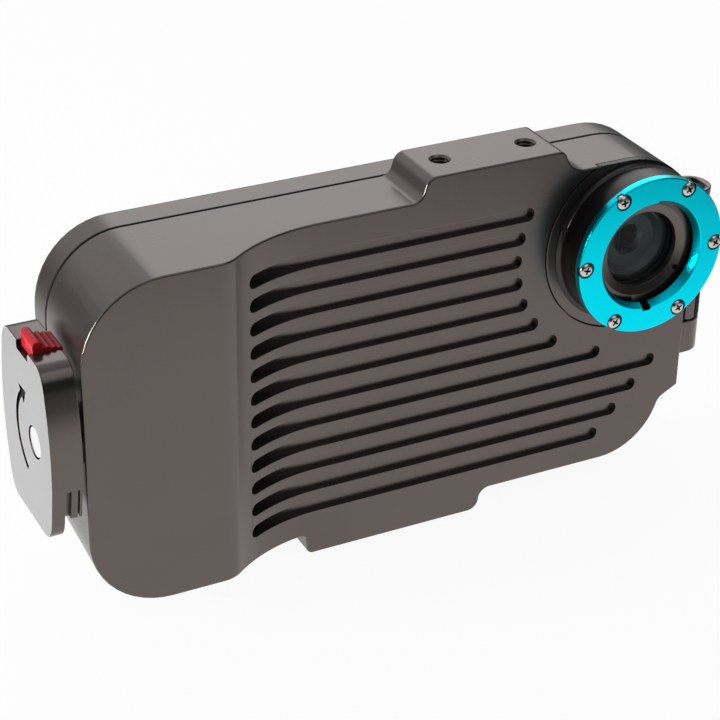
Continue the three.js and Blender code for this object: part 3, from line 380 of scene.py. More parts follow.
def makeWorld():
    s = studio
    world = bpy.data.worlds.new("studio")
    bpy.context.scene.world = world
    world.use_nodes = True
    tree = world.node_tree
    tree.nodes.clear()
    rays = addNode(tree, "ShaderNodeLightPath").outputs
    seen = mathNode(tree, "MAXIMUM", rays["Is Camera Ray"], rays["Is Transmission Ray"])
    # the room is dark at the horizon and brightens upwards, earlier and more behind the object
    where = addNode(tree, "ShaderNodeTexCoord").outputs["Generated"]
    along = addNode(tree, "ShaderNodeSeparateXYZ", {0: where}).outputs
    ahead = mapRange(tree, along["Z"], *s["worldFrontRise"], *s["worldFront"])
    behind = mapRange(tree, along["Z"], *s["worldBackRise"], *s["worldBack"])
    room = mapRange(tree, along["Y"], *s["worldSides"], ahead, behind)
    plain = addNode(tree, "ShaderNodeBackground", {"Color": (*s["worldColor"], 1), "Strength": room})
    white = addNode(tree, "ShaderNodeBackground", {"Color": (1, 1, 1, 1), "Strength": 1})
    mixedOutput(tree, "ShaderNodeOutputWorld", seen, plain, white)


def makeLamps():
    for name, lamp in studio["lamps"].items():
        data = bpy.data.lights.new(name, "AREA")
        data.shape = "SQUARE"
        data.size = lamp["size"]
        data.energy = lamp["power"]
        obj = enter(bpy.data.objects.new(name, data))
        place = Vector(lamp["place"])
        turn = (Vector(lamp["aim"]) - place).to_track_quat("-Z", "Y")
        obj.matrix_world = Matrix.Translation(place) @ turn.to_matrix().to_4x4()


makeCamera()
makeStage()
makeWorld()
makeLamps()
bpy.context.scene.view_settings.view_transform = "Standard"
print("camera, floor and lamps are in place")

# ---- materials

# turn: from a flat face to a rounded edge, as the dot product of the two normals
edgeWearAndSheen = {
    "radius": 0.0006, "broken": 0.5, "turn": (1.0, 0.86), "noise": 420, "detail": 4, "patch": (0.35, 0.62),
}


def makeGrainGroup():
    # fine blasted grain with soft clouds, read in object coordinates
    group, given = newGroup("blastedGrain", {"Grain Size": 0.0002, "Cloud Size": 0.02}, ("Grain", "Clouds"))
    where = addNode(group, "ShaderNodeTexCoord").outputs["Object"]
    made = []
    for size, detail in (("Grain Size", 2.0), ("Cloud Size", 3.0)):
        scale = mathNode(group, "DIVIDE", 1.0, given[size])
        noise = addNode(group, "ShaderNodeTexNoise", {"Vector": where, "Scale": scale, "Detail": detail})
        made.append(noise.outputs["Fac"])
    addNode(group, "NodeGroupOutput", {"Grain": made[0], "Clouds": made[1]})
    return group


def makeEdgeGroup():
    # a mask of the rounded edges, broken up by noise; the edges it lightens are partly wear and partly
    # painted highlight
    w = edgeWearAndSheen
    group, given = newGroup("edgeWearAndSheen", {"Radius": w["radius"], "Break": w["broken"]}, ("Edge",))
    around = addNode(group, "ShaderNodeBevel", {"Radius": given["Radius"]}, samples=4).outputs[0]
    flat = addNode(group, "ShaderNodeNewGeometry").outputs["Normal"]
    dot = addNode(group, "ShaderNodeVectorMath", {0: around, 1: flat}, operation="DOT_PRODUCT")
    edge = mapRange(group, dot.outputs["Value"], *w["turn"])
    where = addNode(group, "ShaderNodeTexCoord").outputs["Object"]
    spots = {"Vector": where, "Scale": w["noise"], "Detail": w["detail"]}
    noise = addNode(group, "ShaderNodeTexNoise", spots).outputs["Fac"]
    patch = mapRange(group, noise, *w["patch"])
    rest = mathNode(group, "SUBTRACT", 1.0, given["Break"])
    keep = mathNode(group, "MULTIPLY_ADD", patch, given["Break"], rest)
    addNode(group, "NodeGroupOutput", {"Edge": mathNode(group, "MULTIPLY", edge, keep)})
    return group


grainGroup = makeGrainGroup()
edgeGroup = makeEdgeGroup()

# grain, grainHeight and cloud are in metres; what a finish doesn't name is as here
plainFinish = {
    "metal": 0.0, "shine": 0.5, "rough": 0.3, "roughSpread": 0.05, "bump": 0.5,
    "grain": 0.0002, "grainHeight": 6e-6, "cloud": 0.01, "cloudShare": 0.10, "edgeShare": 0.1,
}
charcoal = {
    "color": (0.138, 0.117, 0.109), "edge": (0.16, 0.14, 0.13), "metal": 0.9, "rough": 0.28,
    "grain": 0.00022, "grainHeight": 1e-5, "cloud": 0.03,
}
finishes = {
    "charcoalAnodised": charcoal,
    "leverAnodised": {**charcoal, "rough": 0.2},
    "blackAnodised": {
        "color": (0.050, 0.046, 0.044), "edge": (0.07, 0.065, 0.06), "metal": 0.9, "rough": 0.27,
        "grainHeight": 8e-6, "cloud": 0.02,
    },
    "deepBlack": {
        "color": (0.006, 0.006, 0.006), "edge": (0.01, 0.01, 0.01), "rough": 0.6, "shine": 0.1,
        "grain": 0.0003, "grainHeight": 8e-6,
    },
    "cyanAnodised": {
        "color": (0.0, 0.78, 1.0), "edge": (0.0, 0.90, 1.0), "metal": 1.0, "rough": 0.28, "cloud": 0.015,
    },
    "polishedSteel": {
        "color": (0.95, 0.95, 0.95), "edge": (0.95, 0.95, 0.95), "metal": 1.0, "rough": 0.2,
        "grain": 0.0001, "grainHeight": 2e-6, "cloud": 0.004,
    },
    "screwSteel": {
        "color": (0.62, 0.61, 0.59), "edge": (0.85, 0.84, 0.82), "metal": 1.0, "rough": 0.22,
        "grain": 0.0001, "grainHeight": 4e-6, "cloud": 0.004, "edgeShare": 0.3,
    },
    # painted light: a lighter copy of the lever's charcoal for its outer face, with a warm painted highlight
    # along its edges
    "leverFacePaintedLight": {
        "color": (0.27, 0.267, 0.27), "edge": (0.80, 0.74, 0.64), "metal": 0.35, "rough": 0.38,
        "grain": 0.00018, "cloud": 0.02, "edgeShare": 0.7,
    },
    "buttonSatin": {
        "color": (0.50, 0.50, 0.51), "edge": (0.80, 0.80, 0.80), "metal": 0.9,
        "grain": 0.00018, "edgeShare": 0.5,
    },
    "redGloss": {
        "color": (0.36, 0.008, 0.012), "edge": (0.50, 0.03, 0.03), "shine": 0.2,
        "grain": 0.0004, "grainHeight": 4e-6, "edgeShare": 0.15,
    },
    "blackPlastic": {
        "color": (0.009, 0.012, 0.012), "edge": (0.03, 0.03, 0.03), "rough": 0.4,
        "grain": 0.0006, "grainHeight": 3e-6, "edgeShare": 0.3,
    },
    "sealRubber": {
        "color": (0.022, 0.022, 0.023), "edge": (0.05, 0.05, 0.05), "rough": 0.62,
        "grain": 0.0003, "grainHeight": 1e-5, "edgeShare": 0.2,
    },
    "padRubber": {
        "color": (0.045, 0.046, 0.05), "edge": (0.09, 0.09, 0.09), "rough": 0.8,
        "grain": 0.0005, "grainHeight": 5e-5, "cloud": 0.02, "edgeShare": 0.3,
    },
    "boardGreen": {
        "color": (0.015, 0.11, 0.04), "edge": (0.35, 0.30, 0.16), "rough": 0.35,
        "grain": 0.0008, "grainHeight": 1e-5, "cloud": 0.006, "edgeShare": 0.5,
    },
    "batteryFoil": {
        "color": (0.42, 0.43, 0.45), "edge": (0.62, 0.62, 0.62), "metal": 0.6, "rough": 0.4,
        "grain": 0.0015, "grainHeight": 4e-5, "edgeShare": 0.3,
    },
}


def makeFinish(name, values):
    v = {**plainFinish, **values}
    material, tree = newMaterial(name)
    sizes = {"Grain Size": v["grain"], "Cloud Size": v["cloud"]}
    grain = addNode(tree, "ShaderNodeGroup", sizes, node_tree=grainGroup).outputs
    wearAndSheen = addNode(tree, "ShaderNodeGroup", node_tree=edgeGroup).outputs["Edge"]
    # colour: soft clouds, then the lighter edges, partly wear and partly painted highlight
    change = v["cloudShare"]
    dark, light = ([min(1, c * share) for c in v["color"]] + [1] for share in (1 - change, 1 + change))
    tints = {"A": dark, "B": light, "Factor": grain["Clouds"]}
    clouds = addNode(tree, "ShaderNodeMix", tints, data_type="RGBA").outputs["Result"]
    wearAndSheenTint = {"A": clouds, "B": (*v["edge"], 1), "Factor": mathNode(tree, "MULTIPLY", wearAndSheen, v["edgeShare"])}
    color = addNode(tree, "ShaderNodeMix", wearAndSheenTint, data_type="RGBA").outputs["Result"]
    # roughness follows the clouds a little
    spread = v["roughSpread"]
    rough = mapRange(tree, grain["Clouds"], low=v["rough"] - spread, high=v["rough"] + spread)
    relief = {"Strength": v["bump"], "Distance": v["grainHeight"], "Height": grain["Grain"]}
    setInputs(tree, tree.nodes["Principled BSDF"], {
        "Base Color": color, "Metallic": v["metal"], "Specular IOR Level": v["shine"], "Roughness": rough,
        "Normal": addNode(tree, "ShaderNodeBump", relief).outputs["Normal"],
    })
    return material


glasses = {
    "portGlass": {"tint": (0.80, 0.88, 0.90, 1), "bend": 1.16, "smear": 0.004, "rough": 0.03},
    "windowGlass": {"tint": (0.90, 0.95, 0.95, 1), "bend": 1.45, "smear": 0.004, "rough": 0.03},
}


def makeGlass(name, v):
    material, tree = newMaterial(name)
    grain = addNode(tree, "ShaderNodeGroup", {"Grain Size": v["smear"]}, node_tree=grainGroup)
    setInputs(tree, tree.nodes["Principled BSDF"], {
        "Base Color": v["tint"], "IOR": v["bend"], "Transmission Weight": 1.0,
        "Roughness": mapRange(tree, grain.outputs["Grain"], high=v["rough"]),
    })
    return material


finish = {name: makeFinish(name, values) for name, values in finishes.items()}
finish.update({name: makeGlass(name, values) for name, values in glasses.items()})
print("materials are ready")

# ---- the case's outline, shared by both shells

case = {
    "left": -94.6, "right": 96.4, "bottom": 6.6, "top": 103.3,
    "faceY": -9.2, "gripY": -20.3, "partingY": 10.5, "coverY": 10.8, "rearY": 20.6,
    "leftCorner": 23.0, "leftDraft": 1.9, "highCorner": 23.5, "lowCorner": 20.0,
    "foot": [(-26.9, 6.6, 1.9), (-26.3, 0, 1.9), (28.8, 0, 3.5), (29.4, 6.6, 3.5)],
    "rail": [(53.9, 103.3, 6.5), (51.5, 110.0, 3.0), (9.1, 110.0, 3.6), (7.1, 103.3, 3.6)],
    "stepLeft": 84.5, "stepBend": (90.2, 22.4, 4.0), "stepTop": 25.7, "wall": 6.0, "innerRight": 90.8,
}


def caseOutline(withRail, stepRound=0.6):
    c = case
    return filletedPoints([
        (c["left"], c["bottom"], c["leftCorner"]), *(c["foot"] if withRail else []),
        (c["stepLeft"], c["bottom"], c["lowCorner"]), c["stepBend"],
        (c["right"], c["stepTop"], stepRound),
        (c["right"], c["top"], c["highCorner"]), *(c["rail"] if withRail else []),
        (c["left"], c["top"], c["leftCorner"]),
    ])


def innerOutline(inset):
    c = case
    left, right = c["left"] + c["leftDraft"] + inset, c["innerRight"] - inset
    bottom, top = c["bottom"] + inset, c["top"] - inset
    return filletedPoints([
        (left, bottom, c["leftCorner"] - inset), (right, bottom, c["lowCorner"] - inset),
        (right, top, c["highCorner"] - inset), (left, top, c["leftCorner"] - inset),
    ])


def drawInLeft(obj):
    # the left end draws in from the grip's face to the parting plane
    c = case
    straight = c["left"] + c["leftCorner"]
    for vertex in obj.data.vertices:
        x, y = vertex.co.x / mm, vertex.co.y / mm
        share = min((y - c["gripY"]) / (c["partingY"] - c["gripY"]), 1)
        if x < straight:
            vertex.co.x = (straight + (x - straight) * (1 - share * c["leftDraft"] / c["leftCorner"])) * mm


# ---- front shell

front = {
    "rampStart": -56.5, "rampRun": 33.0, "gripRise": 11.1, "crownShare": 0.165,
    "rimRound": 0.55, "innerRim": 0.3,
    "grooveTop": 93.0, "groovePitch": 7.0, "grooveCount": 12, "grooveWidth": 3.8, "grooveFloorY": -7.4,
    "grooveLeft": -45.9, "archedGrooves": 8, "portReach": 35.2, "longEnd": 85.1, "stepBack": 6.1,
    "grooveRound": 0.3, "grooveZone": (-46.2, 88, 14, 96.2),
    "port": (74.5, 0, 78.5), "seatRadius": 27.6, "seatY": -7.2, "through": (13.3, -12, 0),
    "railHoles": (17.5, 44.3), "footHoles": (-17.5, 17.5), "threadY": 0.65, "railTop": 110.0,
    "hollowY": -4.7, "sealGroove": (1.7, 4.1), "sealFloorY": 8.5,
    "gripHollow": [(-88.6, 12.6, 17), (-56.5, 12.6, 6), (-56.5, 97.3, 6), (-88.6, 97.3, 17)],
    "gripHollowY": (-16.3, -4.4),
}
thread = {"mouth": 3.1, "core": 2.5, "groove": 2.9, "sink": 0.6, "pitch": 1.0, "ridged": 8.2, "depth": 9.0}
hinge = {
    "x": 103.1, "y": 2.8, "radius": 6.0, "bottom": 32.2, "top": 76.5, "knuckle": 10.6, "edgeRound": 0.4,
    "pin": 2.0, "play": 0.1, "root": 93.4,
}
eyelet = {
    "right": 109.1, "front": -3.2, "rear": 8.9, "corner": 6, "bottom": 82.8, "top": 85.4,
    "slot": (101.2, -1.3, 106.8, 7.0, 2.2),
}
pivot = {"centre": (0, -11.0, 58.5), "bore": (3.1, -98, -86), "pad": (8.0, -95.6, -91.6, 0.3)}


def rampPlan():
    c, f = case, front
    slope = 2 * math.atan(f["gripRise"] / f["rampRun"])
    total = f["rampRun"] / math.sin(slope)
    crown = total * f["crownShare"]
    hollow = total - crown
    rampEnd = f["rampStart"] + f["rampRun"]
    points = [(c["left"] - 3, c["partingY"] + 3), (c["left"] - 3, c["gripY"])]
    points += arcPoints(f["rampStart"], c["gripY"] + crown, crown, -quarter, slope - quarter, 2.5)
    points += arcPoints(rampEnd, c["faceY"] - hollow, hollow, quarter + slope, quarter, 2.5)[1:]
    return points + [(c["right"] + 3, c["faceY"]), (c["right"] + 3, c["partingY"] + 3)]


def grooveCutters():
    # the upper grooves end on an arc round the port, each lower one ends a step further back
    f = front
    portX, portY, portZ = f["port"]
    half = f["grooveWidth"] / 2
    cutters = []
    for i in range(f["grooveCount"]):
        z = f["grooveTop"] - f["groovePitch"] * i
        rise = z - portZ
        if i < f["archedGrooves"]:
            end = portX - math.sqrt(f["portReach"] ** 2 - rise**2) - half
        else:
            end = f["longEnd"] - f["stepBack"] * (i - f["archedGrooves"])
        outline = arcPoints(end, z, half, -quarter, quarter, 11.25)
        outline += arcPoints(f["grooveLeft"] + half, z, half, quarter, 1.5 * math.pi, 11.25)
        cutters.append(pulledSlab("groove", outline, case["gripY"] - 2, f["grooveFloorY"]))
    return cutters


def threadedHole(x, y, mouth, inward):
    # a bore with rings, countersunk at the mouth
    t = thread
    profile = [(0, -2), (t["mouth"], -2), (t["mouth"], 0), (t["core"], t["sink"])]
    depth = t["sink"]
    while depth < t["ridged"]:
        profile += [(t["core"], depth + 0.3 * t["pitch"]), (t["groove"], depth + 0.65 * t["pitch"])]
        depth += t["pitch"]
        profile.append((t["core"], depth))
    profile += [(t["core"], t["depth"]), (0, t["depth"])]
    return spunPiece("thread", [(r, mouth + inward * h) for r, h in profile], "z", (x, y, 0), 40)


def hingeBore(low, high):
    return rod("pinBore", "z", (hinge["x"], hinge["y"], 0), 40, hinge["pin"] + hinge["play"], low, high)


def addHingeSide(shell):
    h, e = hinge, eyelet

    def clearOfCase(edge):
        return sharp(edge) and middle(edge).x > h["root"] + 0.6

    bend = arcPoints(h["x"], h["y"], h["radius"], -quarter, quarter)
    outline = [(h["root"], h["y"] - h["radius"]), *bend, (h["root"], h["y"] + h["radius"])]
    for low in (h["bottom"], h["top"] - h["knuckle"]):
        knuckle = pulledSlab("knuckle", outline, low, low + h["knuckle"], "xy")
        softenEdges(knuckle, clearOfCase, h["edgeRound"])
        unite(shell, knuckle)
    corners = [
        (h["root"], e["front"]), (e["right"], e["front"], e["corner"]),
        (e["right"], e["rear"], e["corner"]), (h["root"], e["rear"]),
    ]
    plate = pulledSlab("eyelet", filletedPoints(corners), e["bottom"], e["top"], "xy")
    cut(plate, pulledSlab("slot", roundBox(*e["slot"]), 80, 88, "xy"))
    softenEdges(plate, clearOfCase, h["edgeRound"])
    unite(shell, plate)


def makeFrontShell():
    c, f = case, front
    shell = pulledSlab("front_shell", caseOutline(True), c["gripY"] - 1, c["partingY"])
    drawInLeft(shell)
    combine(shell, pulledSlab("ramp", rampPlan(), -5, 115, "xy"), "INTERSECT")
    softenEdges(shell, lambda edge: frontRim(edge, 0.3), f["rimRound"])
    # knuckles, eyelet and pivot pad are added before the hollows are cut
    addHingeSide(shell)
    unite(shell, rod("pad", "x", pivot["centre"], 64, *pivot["pad"]))
    cut(shell, pulledSlab("hollow", innerOutline(c["wall"]), f["hollowY"], c["partingY"] + 2))
    cut(shell, pulledSlab("gripHollow", filletedPoints(f["gripHollow"]), *f["gripHollowY"]))
    cut(shell, *grooveCutters())
    left, right, low, high = f["grooveZone"]

    def grooveMouth(edge):
        place = middle(edge)
        inZone = left <= place.x <= right and low <= place.z <= high and place.y <= c["faceY"] + 0.2
        return inZone and sharp(edge) and frontRim(edge, 0.02)

    softenEdges(shell, grooveMouth, f["grooveRound"], 2)
    cut(shell, rod("seat", "y", f["port"], 128, f["seatRadius"], c["gripY"], f["seatY"]))
    cut(shell, rod("through", "y", f["port"], 96, *f["through"]))
    holes = [threadedHole(x, f["threadY"], f["railTop"], -1) for x in f["railHoles"]]
    holes += [threadedHole(x, f["threadY"], 0, 1) for x in f["footHoles"]]
    cut(shell, *holes)
    cut(shell, hingeBore(26, 79))
    cut(shell, rod("pivotBore", "x", pivot["centre"], 40, *pivot["bore"]))
    # groove of the main seal in the parting plane
    outer, inner = f["sealGroove"]
    band = pulledSlab("sealGroove", innerOutline(outer), f["sealFloorY"], c["partingY"] + 2)
    cut(band, pulledSlab("sealCore", innerOutline(inner), f["sealFloorY"] - 0.5, c["partingY"] + 3))
    cut(shell, band)
    softenEdges(shell, rimOf((0, 1, 0), c["partingY"]), f["innerRim"], 2)
    finished(shell, "case", "shell_metal", "charcoalAnodised", "front_housing")


makeFrontShell()
print("front shell is made")

# ---- rear cover with its window opening and button wells

cover = {
    "rimRound": 1.2, "stepRound": 1.6, "edgeRound": 0.6, "floorY": 16.1,
    "armRoot": 90, "armBottom": 43.2, "armTop": 65.5, "armCorner": 8.0, "armRound": 0.4,
    "window": (-50.0, 25.0, 70.0, 85.0), "windowCorner": 6.0, "windowChamfer": 0.9,
    "glassGroove": (3.1, 0.7, 17.3), "buttonX": -74.5, "buttonZ": (81.0, 68.0, 55.0, 42.0, 29.0),
    "buttonBoss": (6.6, 13.5), "wellChamfer": 0.5,
    "well": [(0, 11), (3.5, 11), (3.5, 15.3), (1.7, 15.3), (1.7, 17.2), (4.7, 17.2, 0.2),
             (4.7, 23), (0, 23)],
    "screwX": (-34.0, 54.0), "screwZ": (18.1, 91.9), "screwBoss": (2.6, 12.9), "screwBore": (1.3, 10, 18.1),
    "keeper": (0, 13.4, 58.5), "keeperBore": (1.7, -95, -87.8),
}


def windowOutline(beside, above, corner):
    left, bottom, right, top = cover["window"]
    return roundBox(left - beside, bottom - above, right + beside, top + above, corner)


def hingeArm():
    c, h, r = case, hinge, cover
    outline = [(r["armRoot"], c["coverY"]), (h["x"] - h["radius"], c["coverY"])]
    outline += arcPoints(h["x"], h["y"], h["radius"], math.pi, 2 * math.pi)
    corner = r["armCorner"]
    outline += arcPoints(h["x"] + h["radius"] - corner, c["rearY"] - corner, corner, 0, quarter)
    outline += [(r["armRoot"], c["rearY"])]
    arm = pulledSlab("arm", outline, r["armBottom"], r["armTop"], "xy")

    def clearOfCover(edge):
        return sharp(edge) and middle(edge).x > c["right"] + 0.2 and middle(edge).y <= c["rearY"] - 0.1

    softenEdges(arm, clearOfCover, r["armRound"])
    return arm


def makeRearCover():
    c, r = case, cover
    shell = pulledSlab("rear_shell", caseOutline(False, r["stepRound"]), c["coverY"], c["rearY"])
    drawInLeft(shell)
    softenEdges(shell, rimOf((0, 1, 0), c["rearY"]), r["rimRound"], 4)
    softenEdges(shell, rimOf((0, -1, 0), c["coverY"]), r["edgeRound"], 2)
    cut(shell, pulledSlab("hollow", innerOutline(c["wall"]), c["coverY"] - 2, r["floorY"]))
    unite(shell, hingeArm())
    for z in r["buttonZ"]:
        unite(shell, rod("boss", "y", (r["buttonX"], 0, z), 48, *r["buttonBoss"], r["floorY"] + 1, 0.3))
    for z in r["screwZ"]:
        for x in r["screwX"]:
            unite(shell, rod("boss", "y", (x, 0, z), 40, *r["screwBoss"], r["floorY"] + 1))
    opening = windowOutline(0, 0, r["windowCorner"])
    cutters = [pulledSlab("opening", opening, r["floorY"] - 3, c["rearY"] + 2)]
    for x in r["screwX"]:
        cutters += [rod("bore", "y", (x, 0, z), 24, *r["screwBore"]) for z in r["screwZ"]]
    cutters += [spunPiece("well", r["well"], "y", (r["buttonX"], 0, z), 64) for z in r["buttonZ"]]
    cut(shell, *cutters, rod("keeperBore", "x", r["keeper"], 32, *r["keeperBore"]), hingeBore(30, 75))
    # groove of the window's seal
    outer, inner, floor = r["glassGroove"]
    groove = pulledSlab("groove", windowOutline(outer, outer, r["windowCorner"] + outer), 14, floor)
    cut(groove, pulledSlab("core", windowOutline(inner, inner, r["windowCorner"] + inner), 13, 18))
    cut(shell, groove)
    left, bottom, right, top = r["window"]
    onRear = rimOf((0, 1, 0), c["rearY"])

    def windowMouth(edge):
        place = middle(edge)
        return onRear(edge) and left - 1 < place.x < right + 1 and bottom - 5 < place.z < top + 5

    def wellMouth(edge):
        return onRear(edge) and abs(middle(edge).x - r["buttonX"]) < 5.5

    softenEdges(shell, windowMouth, r["windowChamfer"], 2)
    softenEdges(shell, wellMouth, r["wellChamfer"], 2)
    finished(shell, "cover", "shell_metal", "charcoalAnodised", "rear_cover")

    def jointShade(place, normal):
        # painted shade: the cover's bevel faces at the joint between the shells are painted black for the
        # shadow in the gap, so it reads as a dark line
        return place.y < c["coverY"] + r["edgeRound"] and -0.95 < normal.y < -0.3

    paintFaces(shell, "deepBlack", jointShade)


makeRearCover()
print("rear cover is made")

# ---- lens port with its ring, screws, retainer and glass

port = {
    "centre": front["port"], "faceY": case["faceY"], "frontY": -18.3,
    "barrel": 22.85, "flange": 27.2, "bore": 17.9,
    "flangeBack": -7.5, "tube": 13.0, "tubeBack": -5.0, "throat": 10.7, "throatFront": -10.0,
    "glassSeat": 15.3, "glassFront": -13.9, "holdScrews": 19.5, "holdBore": (1.3, -13.7, -3),
    "ringFront": -21.0, "ringBack": -18.6, "ringOuter": 23.6,
    "ringLip": 15.1, "lipMouth": 16.3, "lipDepth": 1.8, "ringOpen": 15.5, "ringMouth": 16.45,
    "openStart": -90.5, "openEnd": 87, "notchAngle": -90.5, "notchWidth": 2.8, "notchReach": 17.2,
    "screwCircle": 21.35, "screwBore": (1.0, -19.5, -12.9), "pocket": 2.45, "pocketDepth": 1.3,
    "glass": (15.0, -13.6, -11.6, 0.25), "keyHole": (0.8, -19, -15.4), "keyHoles": (13.65, -34, 146),
    "retainer": [(11.4, -16.0, 0.15), (13.9, -16.9, 0.25), (17.6, -16.9, 0.3), (17.6, -13.9, 0.2),
                 (12.6, -13.9, 0.1), (12.6, -14.3), (11.4, -14.3, 0.1)],
    "baffle": [(9.7, -11.0, 0.1), (10.4, -11.0, 0.1), (10.4, -6.0, 0.1), (4.65, -6.0), (4.65, -8.6, 0.2),
               (8.1, -8.9, 0.1), (8.5, -9.5, 0.15)],
}


def screwPlace(radius, degrees):
    x, y, z = port["centre"]
    return (x + radius * math.cos(math.radians(degrees)), y, z + radius * math.sin(math.radians(degrees)))


screwPlaces = [screwPlace(port["screwCircle"], 60 * i) for i in range(6)]


def fromAxis(place):
    return math.hypot(place.x - port["centre"][0], place.z - port["centre"][2])


def makeBarrel():
    p = port
    profile = [
        (p["bore"], p["frontY"], 0.25), (p["barrel"], p["frontY"], 0.3), (p["barrel"], p["faceY"], 1.6),
        (p["flange"], p["faceY"]), (p["flange"], p["flangeBack"]), (p["tube"], p["flangeBack"]),
        (p["tube"], p["tubeBack"], 0.2), (p["throat"], p["tubeBack"], 0.2),
        (p["throat"], p["throatFront"], 0.1), (p["glassSeat"], p["throatFront"]),
        (p["glassSeat"], p["glassFront"]), (p["bore"], p["glassFront"]),
    ]
    barrel = spunPiece("barrel", profile, "y", p["centre"], 144)
    # the flange doesn't pass the case's outline
    outside = pulledSlab("outside", flatBox(-60, -60, 160, 160), -10.8, 0)
    cut(outside, pulledSlab("inside", caseOutline(True), -12, 2))
    cut(barrel, outside)
    softenEdges(barrel, rimOf((0, -1, 0), p["faceY"]), 0.35, 2)
    holdPlaces = [screwPlace(p["holdScrews"], 140 + 40 * i) for i in range(3)]
    bores = [rod("bore", "y", place, 24, *p["holdBore"]) for place in holdPlaces]
    bores += [rod("bore", "y", place, 24, *p["screwBore"]) for place in screwPlaces]
    cut(barrel, *bores)
    finished(barrel, "case", "black_metal", "blackAnodised", "port_barrel")

    # painted light: the flange's forward faces get the lighter charcoal, standing for the front light on the
    # same black anodising as the barrel
    def litFlangeFaces(place, normal):
        return fromAxis(place) > p["barrel"] + 1.55 and place.y > -10.9 and normal.y < -0.8

    paintFaces(barrel, "charcoalAnodised", litFlangeFaces)


def makeRing():
    p = port
    x, y, z = p["centre"]
    front, back, mouth = p["ringFront"], p["ringBack"], p["ringMouth"]
    profile = [
        (p["ringLip"], front + p["lipDepth"], 0.2), (p["lipMouth"], front, 0.15),
        (p["ringOuter"], front, 0.4), (p["ringOuter"], back, 0.25), (p["ringLip"], back, 0.2),
    ]
    ring = spunPiece("ring", profile, "y", p["centre"], 144)
    # over half of the turn the opening is wider
    cone = [
        (0, front - 2), (mouth + 0.3, front - 2), (mouth + 0.3, front), (mouth, front + 0.25),
        (p["ringOpen"], back), (p["ringOpen"], back + 2), (0, back + 2),
    ]
    opening = spunPiece("opening", cone, "y", p["centre"], 144)
    start, end = math.radians(p["openStart"]), math.radians(p["openEnd"])
    sector = pulledSlab("sector", [(x, z)] + arcPoints(x, z, 40, start, end), front - 4, back + 4)
    combine(opening, sector, "INTERSECT")
    cut(ring, opening)
    half = p["notchWidth"] / 2
    corners = [(10, -half), (p["notchReach"], -half, 0.5), (p["notchReach"], half, 0.5), (10, half)]
    notch = pulledSlab("notch", filletedPoints(corners), front - 2, back + 2)
    angle = math.radians(p["notchAngle"])
    notch.data.transform(movedTo((x, 0, z)) @ Matrix.Rotation(-angle, 4, "Y"))
    cut(ring, notch)
    pocket = steppedHole(p["pocket"], 1.0, front - 2, front + p["pocketDepth"], back + 2, 0.1)
    cut(ring, *[spunPiece("pocket", pocket, "y", place, 48) for place in screwPlaces])
    finished(ring, "case", "blue_metal", "cyanAnodised", "port_ring")

    def inside(place, normal):
        # painted shade: walls and floors of the pockets, and the notch's walls, are painted black for the
        # shade inside them
        near = min(math.hypot(place.x - px, place.z - pz) for px, py, pz in screwPlaces)
        inPocket = near < p["pocket"] + 0.05 and fromAxis(place) < p["ringOuter"] - 0.1
        beside = abs((place.z - z) * math.cos(angle) - (place.x - x) * math.sin(angle))
        reach = (place.x - x) * math.cos(angle) + (place.z - z) * math.sin(angle)
        onWall = abs(beside - half) < 0.1 or (reach > p["notchReach"] - 0.6 and beside < half)
        inNotch = onWall and 14 < reach < p["notchReach"] + 0.1
        return place.y > front + 0.05 and (inPocket or inNotch)

    paintFaces(ring, "deepBlack", inside)


crossScrew = {
    "head": 2.1, "crown": 1.4, "crownHeight": 0.5, "under": -20.0, "headHeight": 1.5,
    "shank": 0.9, "length": 4.6,
    "recessHalf": (1.35, 0.36), "recessDepth": 0.85, "recessTaper": 0.7, "firstTurn": 35, "nextTurn": 23,
}


def makeRingScrews():
    s = crossScrew
    head, shank, under = s["head"], s["shank"], s["under"]
    top, tip = under - s["headHeight"], under + s["length"]
    profile = [
        (0, top), (s["crown"], top + 0.06, 0.5), (head - 0.12, top + s["crownHeight"], 0.25),
        (head, top + 0.75, 0.1), (head, under, 0.1), (shank, under), (shank, tip - 0.3),
        (shank - 0.3, tip), (0, tip),
    ]
    screw = spunPiece("ring_screw", profile, "y", (0, 0, 0), 56)
    reach, half = s["recessHalf"]
    bars = []
    for across in (False, True):
        # each bar of the recess narrows towards its floor
        outline = flatBox(-reach, -half, reach, half)
        if across:
            outline = [(v, u) for u, v in outline]
        bar = pulledSlab("bar", outline, top - 1, top + s["recessDepth"])
        for vertex in bar.data.vertices:
            if vertex.co.y / mm > top:
                vertex.co.x *= s["recessTaper"]
                vertex.co.z *= s["recessTaper"]
        bars.append(bar)
    unite(*bars)
    cut(screw, bars[0])
    for i, place in enumerate(screwPlaces):
        turn = Matrix.Rotation(math.radians(s["firstTurn"] + s["nextTurn"] * i), 4, "Y")
        copy = ownCopy(screw, f"ring_screw_made_{i + 1}", movedTo(place) @ turn)
        finished(copy, "case", "stainless", "screwSteel", f"ring_screw_{i + 1}")

        # painted shade: the walls and floor of the cross recess are painted black for the shade inside it
        def crossRecessShade(spot, normal):
            # faces of the recess lie inside the head and don't face outwards from its middle
            away = Vector((spot.x - place[0], 0, spot.z - place[2]))
            inward = away.length < 1.6 and normal.dot(away) < 0.02
            onWall = top + 0.02 < spot.y < under - 0.2 and inward and abs(normal.y) < 0.75
            return onWall or (away.length < 1 and abs(spot.y - top - s["recessDepth"]) < 0.03)

        paintFaces(copy, "deepBlack", crossRecessShade)
    bpy.data.objects.remove(screw)


